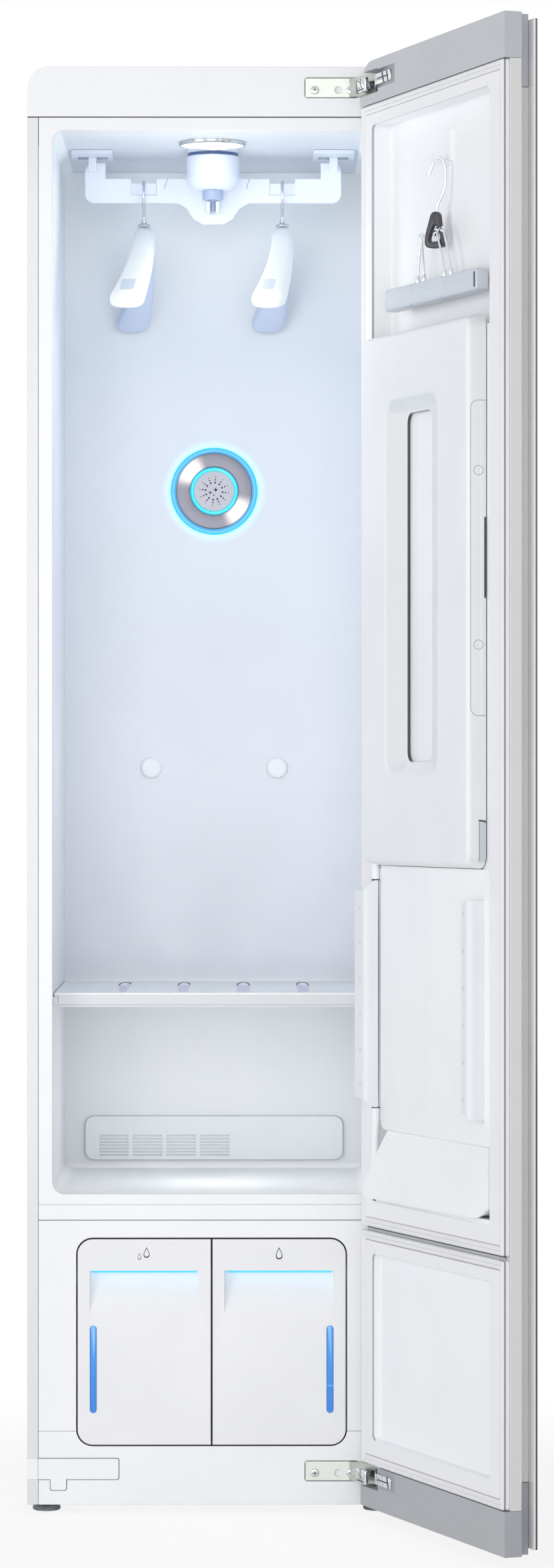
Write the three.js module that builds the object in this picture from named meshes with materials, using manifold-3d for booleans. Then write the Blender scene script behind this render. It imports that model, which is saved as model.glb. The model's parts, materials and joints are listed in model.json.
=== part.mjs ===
// Clothes care steam cabinet with its door standing open.
// Lengths are millimetres. +X is right, +Y is back and +Z is up, seen from the front.
// The drawing starts at the middle of the cabinet's front plane, on the floor.

import * as THREE from 'three';
import { mergeVertices } from 'three/addons/utils/BufferGeometryUtils.js';
import Module from 'manifold-3d';

const wasm = await Module();
wasm.setup();

const half = (value) => value / 2;

// Overall sizes of the cabinet
const cabinetWidth = 472;
const cabinetHeight = 1850;
const cabinetDepth = 530;
const footHeight = 11;
const seatGap = 0.3;
const cutOver = 2;

// Outer sheets, cap and front faces
const sheet = 2;
const sideReturn = 14;
const capHeight = 65;
const capWall = 3;
const capCornerRadius = 28;
const frontThickness = 14;
const fasciaTop = 375;
const kickTop = 105;
const panRim = 20;
const panFloor = 3;
const glandX = 150;
const glandZ = 120;
const glandRadius = 13;
const glandBore = 5;
const glandReach = 6;
const backVentRows = 8;
const backVentBottom = 180;
const backVentPitch = 16;
const backVentWidth = 180;
const backVentSlot = 5;

// Garment space
const cavitySideRoom = 32;
const cavityWidth = cabinetWidth - cavitySideRoom * 2;
const cavityBottom = 408;
const cavityTopDrop = 81;
const cavityTop = cabinetHeight - cavityTopDrop;
const cavityBackRoom = 90;
const cavityDepth = cabinetDepth - cavityBackRoom;
const cavityCorner = 16;
const linerWall = 3;
const ledgeWidth = 6;
const ledgeHeight = 8;

// Shelf
const shelfTop = 664;
const shelfFront = 32;
const shelfBackGap = 15;
const shelfBack = cavityDepth - shelfBackGap;
const shelfThickness = 5;
const shelfRailDepth = 14;
const shelfRailHeight = 18;
const shelfSideGap = 1.5;
const shelfSlotWidth = 18;
const shelfSlotPitch = 80;
const shelfSlotRoom = 28;
const shelfSlotFront = shelfFront + shelfSlotRoom;
const shelfSlotInset = 25;
const shelfSlotBack = shelfBack - shelfSlotInset;
const shelfSlotCount = 4;

// Steam nozzle and pads on the back wall
const nozzleDrop = 436;
const nozzleHeight = cavityTop - nozzleDrop;
const lightRingRadius = 59.6;
const steelRingRadius = 51.7;
const innerRingRadius = 32.6;
const nozzleBore = 20;
const lightRingThickness = 6;
const steelRingThickness = 7;
const discThickness = 6;
const steamHoleRadius = 2;
const steamHoleRows = 12;
const steamHoleReach = 15;
const padSpacing = 172;
const padHeight = 955;
const padRadius = 14.6;
const padThickness = 5;

// Low vent panel
const ventSideGap = 28.5;
const ventWidth = cavityWidth - ventSideGap * 2;
const ventBottom = 420;
const ventHeight = 59;
const ventTop = ventBottom + ventHeight;
const ventThickness = 6;
const ventCorner = 12;
const louvreLeft = 157;
const louvreColumns = 4;
const louvrePitchX = 46;
const louvreGapX = 6;
const louvreRows = 7;
const louvrePitchZ = 4.4;
const louvreSlot = 2.4;
const louvreBottom = 425;

// Lamp, drive motor cover and slotted brackets under the ceiling
const lampRadius = 44;
const lampThickness = 5;
const motorForward = 14;
const motorCentreY = half(cavityDepth) - motorForward;
const lampForward = 82;
const lampCentreY = motorCentreY - lampForward;
const motorCoverRadius = 35;
const motorCoverDepth = 53;
const motorCoverBottom = cavityTop - motorCoverDepth;
const motorCoverWall = 3;
const coverRound = 16;
const coverFlatShare = 0.5;
const coverRoundShare = 0.82;
const coverLowShare = 0.25;
const crankShaftRadius = 5;
const runClearance = 0.35;
const crankHubRadius = 13.5;
const crankHubHeight = 12;
const crankRadius = 16;
const crankPinRadius = 2.8;
const crankPinLength = 14;
const crankWebWidth = 11;
const forkClearance = 1.3;
const forkRib = 4;
const forkReach = 33;
const bracketThickness = 5;
const bracketSideGap = 44;
const bracketCentreX = half(cavityWidth) - bracketSideGap;
const bracketWidth = 55;
const bracketForward = 11;
const bracketFront = motorCentreY - bracketForward;
const bracketDepth = 85;
const bracketBack = bracketFront + bracketDepth;
const bracketSlotX = 40;
const bracketSlotY = 26;
const bracketLand = 4;

// Moving hanger carriage
const carriageBehind = 42;
const carriageY = motorCentreY + carriageBehind;
const carriageThickness = 10;
const carriageOverhang = 10;
const carriageHalfWidth = bracketCentreX + carriageOverhang;
const carriageArmWidth = 27;
const armDrop = 12;
const carriageArmTop = cavityTop - armDrop;
const armRise = 21;
const carriageBarTop = carriageArmTop - armRise;
const barHeight = 32;
const carriageBarBottom = carriageBarTop - barHeight;
const carriageCorner = 12;
const lobeHalfWidth = 47;
const lobeFlat = 14;
const lobeDrop = 28;
const lobeBottom = carriageBarBottom - lobeDrop;
const tabWidth = 10.5;
const tabDepth = 22;
const shoeDepth = 44;
const shoeHeight = 10;
const shoeWidth = 18;
const saddleWidth = 34;
const saddleThickness = 6;
const saddleNotch = 6;
const saddleTop = carriageBarTop - saddleNotch;

// Coat hangers
const hangerSpacing = 184;
const hookWire = 4;
const hookInner = 17;
const hookStem = 14;
const hookTurnFrom = -30;
const hookTurnTo = 225;
const hookTurnSteps = 10;
const hookWireSteps = 28;
const hangerNeckDrop = 57;
const hangerNeckTop = saddleTop - hangerNeckDrop;
const hangerBackGap = 12;
const hangerReach = cavityDepth - carriageY - hangerBackGap;
const hangerNeckWidth = 27;
const hangerTipWidth = 50;
const hangerFall = 130;
const hangerTipBottom = hangerNeckTop - hangerFall;
const hangerNeckHeight = 46;
const hangerTipHeight = 50;
const hangerShares = [0, 0.1, 0.25, 0.45, 0.65, 0.82, 0.93, 1];
const hangerDropShare = 1.25;
const hangerRoundShare = 0.8;
const hangerEndShare = 0.85;
const hangerSideCount = 14;
const hangerBow = 18;
const collarRadius = 9;
const collarHeight = 5;

// Water and drain tanks
const tankSideRoom = 64;
const tankHalfWidth = half(cabinetWidth) - tankSideRoom;
const tankBottom = 87;
const tankHeight = 264;
const tankTop = tankBottom + tankHeight;
const tankSplit = 1.2;
const tankCorner = 20;
const tankFrontThickness = 18;
const tankWall = 3;
const tankInset = 3;
const tankSlideGap = 0.4;
const fillerWidth = 60;
const gripInset = 16;
const gripDrop = 41;
const gripTop = tankTop - gripDrop;
const gripHeight = 55;
const gripBottom = gripTop - gripHeight;
const gripDepth = 13;
const gripLip = 8;
const windowInset = 16;
const windowWidth = 9;
const windowRise = 41;
const windowBottom = tankBottom + windowRise;
const windowHeight = 112;
const windowTop = windowBottom + windowHeight;
const windowDepth = 1.5;
const bayWall = 3;
const bayBackRoom = 164;
const bayDepth = cabinetDepth - bayBackRoom;
const tankBackGap = 26;
const tankDepth = bayDepth - tankBackGap;
const tankFaceGap = 1.3;

// Machinery behind the tanks
const compressorSideGap = 116;
const compressorX = -half(cabinetWidth) + compressorSideGap;
const compressorBackGap = 74;
const compressorY = cabinetDepth - compressorBackGap;
const compressorRadius = 56;
const compressorHeight = 210;
const compressorDome = 24;
const domeMidShare = 0.9;
const domeLowShare = 0.4;
const domeInnerShare = 0.45;
const boilerWidth = 110;
const boilerDepth = 80;
const boilerHeight = 100;
const boilerSideGap = 86;
const boilerX = half(cabinetWidth) - boilerSideGap;
const boilerBackGap = 70;
const boilerY = cabinetDepth - boilerBackGap;
const boilerSpoutRadius = 11;
const boilerSpoutHeight = 40;
const blowerX = 10;
const blowerZ = 150;
const blowerRadius = 62;
const blowerBackRoom = 132;
const blowerFront = cabinetDepth - blowerBackRoom;
const blowerDepth = 76;
const blowerBack = blowerFront + blowerDepth;
const blowerWall = 3;
const blowerFootWidth = 70;
const fanRadius = 48;
const fanHubRadius = 12;
const fanDepth = 46;
const fanBladeCount = 12;
const fanBladeThickness = 2.5;
const fanShaftRadius = 4;
const inletShare = 0.75;
const bladeShare = 0.28;
const bladeLean = 0.5;

// Feet
const footSideInset = 23.5;
const footSpacingX = cabinetWidth - footSideInset * 2;
const footFrontY = 36;
const footBackInset = 42;
const footBackY = cabinetDepth - footBackInset;
const footRadius = 18;
const footDiscHeight = 7;
const footStemRadius = 8;
const footChamfer = 1.5;

// Hinges
const pivotInset = 20;
const pivotX = half(cabinetWidth) - pivotInset;
const pivotFaceGap = 22;
const doorStandOff = 8;
const pivotY = -pivotFaceGap - doorStandOff;
const hingePlateInset = 48;
const hingePlateRight = half(cabinetWidth) - hingePlateInset;
const hingePlateLength = 68;
const hingePlateLeft = hingePlateRight - hingePlateLength;
const hingePlateHeight = 24;
const hingePlateThickness = 2;
const hingeRootWidth = 12;
const earSideShare = 0.62;
const earBackShare = 0.78;
const screwHeightShare = 0.38;
const screwPitch = 46;
const screwProud = 0.5;
const keyholeInset = 42;
const hingeNotchDepth = 32;
const hingePocketDepth = 3;
const hingeTopDrop = 39;
const hingeUpperZ = cabinetHeight - hingeTopDrop;
const hingeLowerZ = 42;
const hingeEar = 7.5;
const hingeBarrelRadius = 8;
const hingePinRadius = 4;
const hingeLeafThickness = 8;
const hingePocketLength = 108;
const hingePocketMouth = 62;
const hingePocketTall = 30;
const screwRadius = 5;
const screwInset = 12;
const keyholeRadius = 5;
const coverLeft = -half(cabinetWidth);
const coverLength = 117;
const coverRight = coverLeft + coverLength;
const coverBottom = 43.5;
const coverHeight = 26.5;
const coverTop = coverBottom + coverHeight;
const coverThickness = 1.4;
const coverTabInset = 30;
const coverTabLeft = coverLeft + coverTabInset;
const coverTabWidth = 20;
const coverTabRight = coverTabLeft + coverTabWidth;
const coverTabDrop = 13.5;
const coverTabBottom = coverBottom - coverTabDrop;
const coverCorner = 3;

// Door, in its own measures: along its width from the hinge edge, and inwards from its inner face
const doorOpening = 110;
const doorWidth = cabinetWidth;
const doorThickness = 44;
const doorHingeInset = pivotInset;
const doorFaceInset = pivotFaceGap;
const doorBottom = 13.6;
const glassThickness = 5;
const glassBottomInset = 7.4;
const glassBottom = doorBottom + glassBottomInset;
const glassTopInset = 7;
const glassTop = cabinetHeight - glassTopInset;
const doorCapHeight = 55;
const capSplitTop = cabinetHeight - doorCapHeight;
const capSplitBottom = 68;
const capTail = 32;
const capTailWidth = 15;
const capInnerInset = 1;
const capHingeRadius = 38;
const frameSide = 28;
const frameInner = 10;
const frameTop = 19;
const frameBottom = 24;
const grooveDepth = 14;
const grooveFront = 24;
const grooveBack = 38;
const gasketEdge = 4;
const gasketWidth = 12;
const gasketSplit = 368;
const gasketGap = 5;
const gasketBase = 0.5;
const gasketCorner = 3;
const gasketProud = 0;
const traySideLeft = 38;
const trayEndGap = 48;
const traySideRight = doorWidth - trayEndGap;
const trayRimDepth = 2;
const trayWall = 3;
const trayUpperRise = 36;
const trayUpperBottom = gasketSplit + trayUpperRise;
const trayTopDrop = 82;
const trayUpperTop = cabinetHeight - trayTopDrop;
const trayUpperDepth = 29;
const trayLowerBottom = 101;
const trayLowerDrop = 31;
const trayLowerTop = gasketSplit - trayLowerDrop;
const trayLowerDepth = 14;
const trayCorner = 8;

// Trouser press on the door
const pressLeft = 54;
const pressEndGap = 51;
const pressRight = doorWidth - pressEndGap;
const pressBottom = 835;
const pressDrop = 280;
const pressTop = trayUpperTop - pressDrop;
const pressFace = 20;
const pressBack = -24;
const pressWall = 3;
const pressTaper = 14;
const pressCorner = 22;
const pressWindowLeft = 141;
const pressWindowRight = 308;
const pressWindowRise = 112;
const pressWindowBottom = pressBottom + pressWindowRise;
const pressWindowDrop = 78;
const pressWindowTop = pressTop - pressWindowDrop;
const slotInsetLeft = 45;
const pressSlotLeft = pressWindowLeft + slotInsetLeft;
const slotInsetRight = 41;
const pressSlotRight = pressWindowRight - slotInsetRight;
const slotInsetLow = 13;
const pressSlotBottom = pressWindowBottom + slotInsetLow;
const slotInsetHigh = 19;
const pressSlotTop = pressWindowTop - slotInsetHigh;
const pressSlotFace = 8;
const pressPivotS = 46;
const pressPivotD = 6;
const pressPostRadius = 7;
const pressPinRadius = 3;
const pressPostGap = 0.4;
const pressPostTall = 20;
const pressPinReach = 15;
const pressKnuckle = 22;
const slotCornerShare = 0.6;
const boardFace = -8;
const boardHingeInset = 30;
const boardLeft = pressLeft + boardHingeInset;
const boardEndInset = 17;
const boardRight = pressRight - boardEndInset;
const boardInset = 16;
const latchRise = 179;
const latchBottom = pressBottom + latchRise;
const latchDrop = 96;
const latchTop = pressTop - latchDrop;
const latchDepth = 15;
const latchThickness = 5;
const latchTravel = 4;
const latchFace = 4;
const latchWidth = 17;
const latchSeat = pressRight - latchWidth;

// Leg wings and the slanted deflector below the press
const wingBottom = 530;
const wingDrop = 38;
const wingTop = pressBottom - wingDrop;
const wingWall = 3;
const wingDeep = 20;
const wingLeftS = 68;
const wingLeftPlate = 33;
const wingEndGap = 64;
const wingRightS = doorWidth - wingEndGap;
const wingRightPlate = 20;
const wingRootD = -6;
const wingPostRadius = 5;
const legPanelInsetLeft = 30;
const legPanelLeft = pressLeft + legPanelInsetLeft;
const legPanelInsetRight = 25;
const legPanelRight = pressRight - legPanelInsetRight;
const legPanelFace = -5;
const wingStubTall = 14;
const deflectorGap = 33;
const deflectorTop = wingBottom - deflectorGap;
const deflectorBottom = 424;
const deflectorSlope = 39;
const deflectorTopLeft = pressLeft + deflectorSlope;
const deflectorLeft = pressLeft;
const deflectorRight = pressRight;
const deflectorTopD = -4;
const deflectorBottomD = 22;
const deflectorThickness = 3;

// Hook and trouser hanger on the door
const doorHookS = half(doorWidth);
const doorHookDrop = 28;
const doorHookTop = trayUpperTop - doorHookDrop;
const doorHookBase = 40;
const doorHookWidth = 20;
const doorHookThickness = 4;
const doorHookPeg = 4;
const pegDrop = 44;
const pegZ = doorHookTop - pegDrop;
const pegHeight = 5;
const pegLip = 7;
const pegTipGap = 6.5;
const trouserWire = 3.4;
const trouserLoop = 10;
const clipDrop = 60;
const trouserClipTop = pegZ - clipDrop;
const clipHeight = 44;
const trouserClipBottom = trouserClipTop - clipHeight;
const trouserClipWidth = 30;
const trouserClipThickness = 9;
const clipNoseShare = 0.35;
const clipHipShare = 0.4;
const clipFootShare = 0.7;
const clipHoleTopShare = 0.32;
const clipHoleShare = 0.42;
const clipHoleLowShare = 0.25;
const trouserTurnFrom = 200;
const trouserTurnTo = -40;
const rodLean = 10;
const straightSteps = 6;
const clampHalfWidth = 149;
const clampDrop = 38;
const clampTop = trouserClipBottom - clampDrop;
const clampHeight = 28;
const clampBottom = clampTop - clampHeight;
const clampThickness = 17;
const clampRodSpacing = 94;
const clampD = -9;

// Finishes
const white = finish('white lacquer', 0xf3f5f6, 0.3, 0);
const liner = finish('cavity plastic', 0xdfe5ee, 0.45, 0);
const innerWhite = finish('inner plastic', 0xeff1f4, 0.42, 0);
const capGrey = finish('grey trim', 0xb4b6bc, 0.4, 0.1);
const edgeGrey = finish('edge profile', 0xd3d3d2, 0.4, 0.1);
const glass = finish('front glass', 0x26282b, 0.08, 0);
const steel = finish('steel', 0xc9cbcd, 0.3, 0.9);
const brushed = finish('brushed ring', 0xb0b2b4, 0.3, 0.9);
const blueLight = finish('blue light', 0x22b4f5, 0.3, 0);
const rubber = finish('dark rubber', 0x4a4c50, 0.7, 0);
const softWhite = finish('soft seal', 0xe4e5e6, 0.7, 0);
const darkClip = finish('dark clip', 0x2a2a30, 0.5, 0);
const clampGrey = finish('clamp plastic', 0xd0d5db, 0.35, 0);
const discGrey = finish('nozzle disc', 0xbabbc8, 0.4, 0.2);
const lampWhite = finish('lamp', 0xffffff, 0.3, 0);
const machineBlack = finish('machine paint', 0x26272a, 0.5, 0.3);

// Facets on arcs
const quarterTurn = half(Math.PI);
const fullTurn = Math.PI + Math.PI;
const threeQuarterTurn = Math.PI + quarterTurn;
const halfStep = 0.5;
const weldReach = 0.0001;
const wireSideCount = 6;
const cornerSteps = 3;
const slotRoundShare = 0.98;
const roundSteps = 28;
const fineSteps = 16;

const radians = THREE.MathUtils.degToRad;

function finish(name, colour, roughness, metalness) {
  return new THREE.MeshStandardMaterial({ name, color: colour, roughness, metalness });
}

// Solids from three.js geometry

function solid(geometry) {
  const bare = geometry.index ? geometry.toNonIndexed() : geometry.clone();
  for (const key of Object.keys(bare.attributes)) {
    if (key !== 'position') bare.deleteAttribute(key);
  }
  const merged = mergeVertices(bare, weldReach);
  const mesh = new wasm.Mesh({
    numProp: 3,
    vertProperties: new Float32Array(merged.attributes.position.array),
    triVerts: new Uint32Array(merged.index.array),
  });
  return new wasm.Manifold(mesh);
}

function geometryOf(manifold) {
  const mesh = manifold.getMesh();
  const geometry = new THREE.BufferGeometry();
  geometry.setAttribute('position', new THREE.BufferAttribute(new Float32Array(mesh.vertProperties), 3));
  geometry.setIndex(new THREE.BufferAttribute(new Uint32Array(mesh.triVerts), 1));
  const flat = geometry.toNonIndexed();
  flat.computeVertexNormals();
  return flat;
}

function add(parent, name, body, material) {
  const mesh = new THREE.Mesh(geometryOf(body), material);
  mesh.name = name;
  parent.add(mesh);
  return mesh;
}

function union(parts) {
  return parts.reduce((sum, part) => sum.add(part));
}

function cut(body, tools) {
  return tools.reduce((left, tool) => left.subtract(tool), body);
}

function block(x0, x1, y0, y1, z0, z1) {
  const box = new THREE.BoxGeometry(x1 - x0, y1 - y0, z1 - z0);
  box.translate(half(x0 + x1), half(y0 + y1), half(z0 + z1));
  return solid(box);
}

function roundRect(x0, x1, y0, y1, radius) {
  const shape = new THREE.Shape();
  shape.moveTo(x0 + radius, y0);
  shape.lineTo(x1 - radius, y0);
  shape.absarc(x1 - radius, y0 + radius, radius, -quarterTurn, 0, false);
  shape.lineTo(x1, y1 - radius);
  shape.absarc(x1 - radius, y1 - radius, radius, 0, quarterTurn, false);
  shape.lineTo(x0 + radius, y1);
  shape.absarc(x0 + radius, y1 - radius, radius, quarterTurn, Math.PI, false);
  shape.lineTo(x0, y0 + radius);
  shape.absarc(x0 + radius, y0 + radius, radius, Math.PI, threeQuarterTurn, false);
  return shape;
}

function outline(points) {
  return new THREE.Shape(points.map(([x, y]) => new THREE.Vector2(x, y)));
}

function extruded(shape, from, to) {
  const settings = { depth: to - from, bevelEnabled: false, curveSegments: cornerSteps };
  return new THREE.ExtrudeGeometry(shape, settings).translate(0, 0, from);
}

// A shape drawn in X and Y, carried along Z
function alongZ(shape, from, to) {
  return solid(extruded(shape, from, to));
}

// A shape drawn in X and Z, carried along Y
function alongY(shape, from, to) {
  return solid(extruded(shape, -to, -from).rotateX(quarterTurn));
}

// A shape drawn in Y and Z, carried along X
function alongX(shape, from, to) {
  const turn = new THREE.Matrix4().makeBasis(
    new THREE.Vector3(0, 1, 0), new THREE.Vector3(0, 0, 1), new THREE.Vector3(1, 0, 0));
  return solid(extruded(shape, from, to).applyMatrix4(turn));
}

function rodZ(x, y, radius, z0, z1, steps = roundSteps) {
  const rod = new THREE.CylinderGeometry(radius, radius, z1 - z0, steps);
  rod.rotateX(quarterTurn).translate(x, y, half(z0 + z1));
  return solid(rod);
}

function rodY(x, z, radius, y0, y1, steps = roundSteps) {
  const rod = new THREE.CylinderGeometry(radius, radius, y1 - y0, steps);
  rod.translate(x, half(y0 + y1), z);
  return solid(rod);
}

function rodX(y, z, radius, x0, x1, steps = roundSteps) {
  const rod = new THREE.CylinderGeometry(radius, radius, x1 - x0, steps);
  rod.rotateZ(quarterTurn).translate(half(x0 + x1), y, z);
  return solid(rod);
}

// A profile of radius and height pairs turned about the vertical through x, y
function turnedZ(profile, x, y, steps = roundSteps) {
  const points = profile.map(([r, z]) => new THREE.Vector2(r, z));
  return solid(new THREE.LatheGeometry(points, steps).rotateX(quarterTurn).translate(x, y, 0));
}

// A profile of radius and depth pairs turned about the line along Y through x, z
function turnedY(profile, x, z, steps = roundSteps) {
  const points = profile.map(([r, y]) => new THREE.Vector2(r, y));
  return solid(new THREE.LatheGeometry(points, steps).translate(x, 0, z));
}

// A round wire through the given points
function wire(points, radius, steps, sides = wireSideCount, closed = false) {
  const section = new THREE.Shape();
  section.absarc(0, 0, radius, 0, fullTurn, false);
  const path = new THREE.CatmullRomCurve3(points.map((p) => new THREE.Vector3(...p)), closed);
  const settings = { steps, extrudePath: path, curveSegments: half(sides), bevelEnabled: false };
  return solid(new THREE.ExtrudeGeometry(section, settings));
}

// Cabinet shell

const bodyHalf = half(cabinetWidth);
const bodyTop = cabinetHeight - capHeight;
const panelTop = bodyTop - seatGap;
const frontHalf = bodyHalf - sideReturn - seatGap;
const cavityHalf = half(cavityWidth);
const panTop = footHeight + panFloor;
const cabinet = new THREE.Group();

function sidePanel(side) {
  const wall = side < 0 ? [-bodyHalf, -bodyHalf + sheet] : [bodyHalf - sheet, bodyHalf];
  const fold = side < 0 ? [-bodyHalf, -bodyHalf + sideReturn] : [bodyHalf - sideReturn, bodyHalf];
  return union([
    block(...wall, 0, cabinetDepth, footHeight, panelTop),
    block(...fold, 0, sheet, footHeight, panelTop),
  ]);
}

function basePan() {
  const reach = bodyHalf - sheet - seatGap;
  const front = frontThickness + seatGap;
  const back = cabinetDepth - sheet - seatGap;
  const tray = block(-reach, reach, front, back, footHeight, footHeight + panRim);
  const room = block(-reach + sheet, reach - sheet, front + sheet, back - sheet,
    panTop, footHeight + panRim + cutOver);
  return tray.subtract(room);
}

function backPanel() {
  const reach = bodyHalf - sheet - seatGap;
  const back = block(-reach, reach, cabinetDepth - sheet, cabinetDepth, footHeight, panelTop);
  const gland = rodY(glandX, glandZ, glandRadius, cabinetDepth - sheet, cabinetDepth + glandReach);
  const bore = rodY(glandX, glandZ, glandBore, cabinetDepth - sheet - cutOver,
    cabinetDepth + glandReach + cutOver);
  const vents = [];
  for (let row = 0; row < backVentRows; row += 1) {
    const z = backVentBottom + row * backVentPitch;
    vents.push(block(-half(backVentWidth), half(backVentWidth), cabinetDepth - sheet - cutOver,
      cabinetDepth + cutOver, z, z + backVentSlot));
  }
  return cut(back.add(gland), [bore, ...vents]);
}

function topCap() {
  const shape = new THREE.Shape();
  const r = capCornerRadius;
  shape.moveTo(-bodyHalf, bodyTop);
  shape.lineTo(bodyHalf, bodyTop);
  shape.lineTo(bodyHalf, cabinetHeight - r);
  shape.absarc(bodyHalf - r, cabinetHeight - r, r, 0, quarterTurn, false);
  shape.lineTo(-bodyHalf + r, cabinetHeight);
  shape.absarc(-bodyHalf + r, cabinetHeight - r, r, quarterTurn, Math.PI, false);
  const shell = alongY(shape, 0, cabinetDepth);
  const room = block(-bodyHalf + capWall, bodyHalf - capWall, frontThickness,
    cabinetDepth - capWall, bodyTop - cutOver, cabinetHeight - capCornerRadius);
  const attic = block(-bodyHalf + r, bodyHalf - r, frontThickness, cabinetDepth - capWall,
    bodyTop - cutOver, cabinetHeight - capWall);
  return cut(shell, [room, attic, hingeSeat(hingeUpperZ)]);
}

// The shallow pocket that a hinge plate lies in
function hingeSeat(bottom) {
  return block(hingePlateLeft - seatGap, hingePlateRight + seatGap, -cutOver, hingePocketDepth,
    bottom - seatGap, bottom + hingePlateHeight + seatGap);
}

function frontFrame() {
  const ring = block(-frontHalf, frontHalf, 0, frontThickness, fasciaTop, panelTop);
  const mouth = roundRect(-cavityHalf, cavityHalf, cavityBottom, cavityTop, cavityCorner);
  return ring.subtract(alongY(mouth, -cutOver, frontThickness + cutOver));
}

function tankMouth() {
  const reach = tankHalfWidth + tankFaceGap;
  const shape = roundRect(-reach, reach, tankBottom - tankFaceGap, tankTop + tankFaceGap,
    tankCorner + tankFaceGap);
  return alongY(shape, -cutOver, frontThickness + cutOver);
}

function lowerFascia() {
  const plate = block(-frontHalf, frontHalf, 0, frontThickness, kickTop, fasciaTop - seatGap);
  return plate.subtract(tankMouth());
}

function kickPanel() {
  const plate = block(-frontHalf, frontHalf, 0, frontThickness, footHeight, kickTop - seatGap);
  return cut(plate, [tankMouth(), hingeSeat(hingeLowerZ)]);
}

function hingeHoleCover() {
  const back = -seatGap;
  const front = back - coverThickness;
  return union([
    alongY(roundRect(coverLeft, coverRight, coverBottom, coverTop, coverCorner), front, back),
    alongY(roundRect(coverTabLeft, coverTabRight, coverTabBottom, coverBottom + coverCorner,
      coverCorner), front, back),
  ]);
}

function foot(x, y) {
  const r = footRadius;
  return turnedZ([
    [0, 0], [r - footChamfer, 0], [r, footChamfer], [r, footDiscHeight - footChamfer],
    [r - footChamfer, footDiscHeight], [footStemRadius, footDiscHeight],
    [footStemRadius, footHeight - seatGap], [0, footHeight - seatGap],
  ], x, y, fineSteps);
}

add(cabinet, 'base_pan', basePan(), steel);
add(cabinet, 'left_side_panel', sidePanel(-1), white);
add(cabinet, 'right_side_panel', sidePanel(1), white);
add(cabinet, 'back_panel', backPanel(), white);
add(cabinet, 'top_cap', topCap(), white);
add(cabinet, 'front_frame', frontFrame(), white);
add(cabinet, 'lower_fascia', lowerFascia(), white);
add(cabinet, 'kick_panel', kickPanel(), white);
add(cabinet, 'hinge_hole_cover', hingeHoleCover(), white);
for (const [name, x, y] of [
  ['foot_front_left', -half(footSpacingX), footFrontY],
  ['foot_front_right', half(footSpacingX), footFrontY],
  ['foot_back_left', -half(footSpacingX), footBackY],
  ['foot_back_right', half(footSpacingX), footBackY],
]) {
  add(cabinet, name, foot(x, y), rubber);
}

// Garment space

function shoeWindow(side) {
  const x = side * bracketCentreX;
  const reachX = half(bracketWidth) - bracketLand;
  return block(x - reachX, x + reachX, bracketFront + bracketLand, bracketBack - bracketLand,
    cavityTop - cutOver, cavityTop + linerWall + cutOver);
}

function cavityLiner() {
  const front = frontThickness + seatGap;
  const outer = roundRect(-cavityHalf - linerWall, cavityHalf + linerWall,
    cavityBottom - linerWall, cavityTop + linerWall, cavityCorner + linerWall);
  const inner = roundRect(-cavityHalf, cavityHalf, cavityBottom, cavityTop, cavityCorner);
  const shell = alongY(outer, front, cavityDepth + linerWall)
    .subtract(alongY(inner, front - cutOver, cavityDepth));
  const ledges = [-1, 1].map((side) => {
    const wall = side * (cavityHalf + half(linerWall));
    const edge = side * (cavityHalf - ledgeWidth);
    const top = shelfTop - shelfThickness - seatGap;
    return block(Math.min(wall, edge), Math.max(wall, edge), shelfFront, shelfBack,
      top - ledgeHeight, top);
  });
  const bores = [
    rodY(0, nozzleHeight, nozzleBore, cavityDepth - cutOver, cavityDepth + linerWall + cutOver),
    block(-louvreLeft, louvreLeft, cavityDepth - cutOver, cavityDepth + linerWall + cutOver,
      louvreBottom, louvreBottom + louvreRows * louvrePitchZ),
    rodZ(0, motorCentreY, motorCoverRadius - motorCoverWall, cavityTop - cutOver,
      cavityTop + linerWall + cutOver),
    shoeWindow(-1),
    shoeWindow(1),
  ];
  return cut(union([shell, ...ledges]), bores);
}

function shelfPlate() {
  const reach = cavityHalf - shelfSideGap;
  const board = block(-reach, reach, shelfFront, shelfBack, shelfTop - shelfThickness, shelfTop);
  const rail = block(-reach + ledgeWidth, reach - ledgeWidth, shelfFront,
    shelfFront + shelfRailDepth, shelfTop - shelfRailHeight, shelfTop);
  const first = -half(shelfSlotPitch * (shelfSlotCount - 1));
  const slots = [];
  for (let i = 0; i < shelfSlotCount; i += 1) {
    const x = first + i * shelfSlotPitch;
    const slot = roundRect(x - half(shelfSlotWidth), x + half(shelfSlotWidth), shelfSlotFront,
      shelfSlotBack, half(shelfSlotWidth) * slotRoundShare);
    slots.push(alongZ(slot, shelfTop - shelfThickness - cutOver, shelfTop + cutOver));
  }
  return cut(board.add(rail), slots);
}

// A ring lying on the back wall, between an inner and an outer radius
function wallRing(outer, inner, thickness) {
  const back = cavityDepth - seatGap;
  const ring = rodY(0, nozzleHeight, outer, back - thickness, back);
  return ring.subtract(rodY(0, nozzleHeight, inner, back - thickness - cutOver, back + cutOver));
}

function nozzleDisc() {
  const back = cavityDepth - seatGap;
  const front = back - discThickness;
  const disc = rodY(0, nozzleHeight, innerRingRadius - seatGap, front, back);
  const holes = [];
  for (let i = 0; i < steamHoleRows; i += 1) {
    const turn = (i / steamHoleRows) * fullTurn;
    holes.push(rodY(Math.cos(turn) * steamHoleReach, nozzleHeight + Math.sin(turn) * steamHoleReach,
      steamHoleRadius, front - cutOver, back + cutOver, wireSideCount));
  }
  return cut(disc, holes);
}

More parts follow.
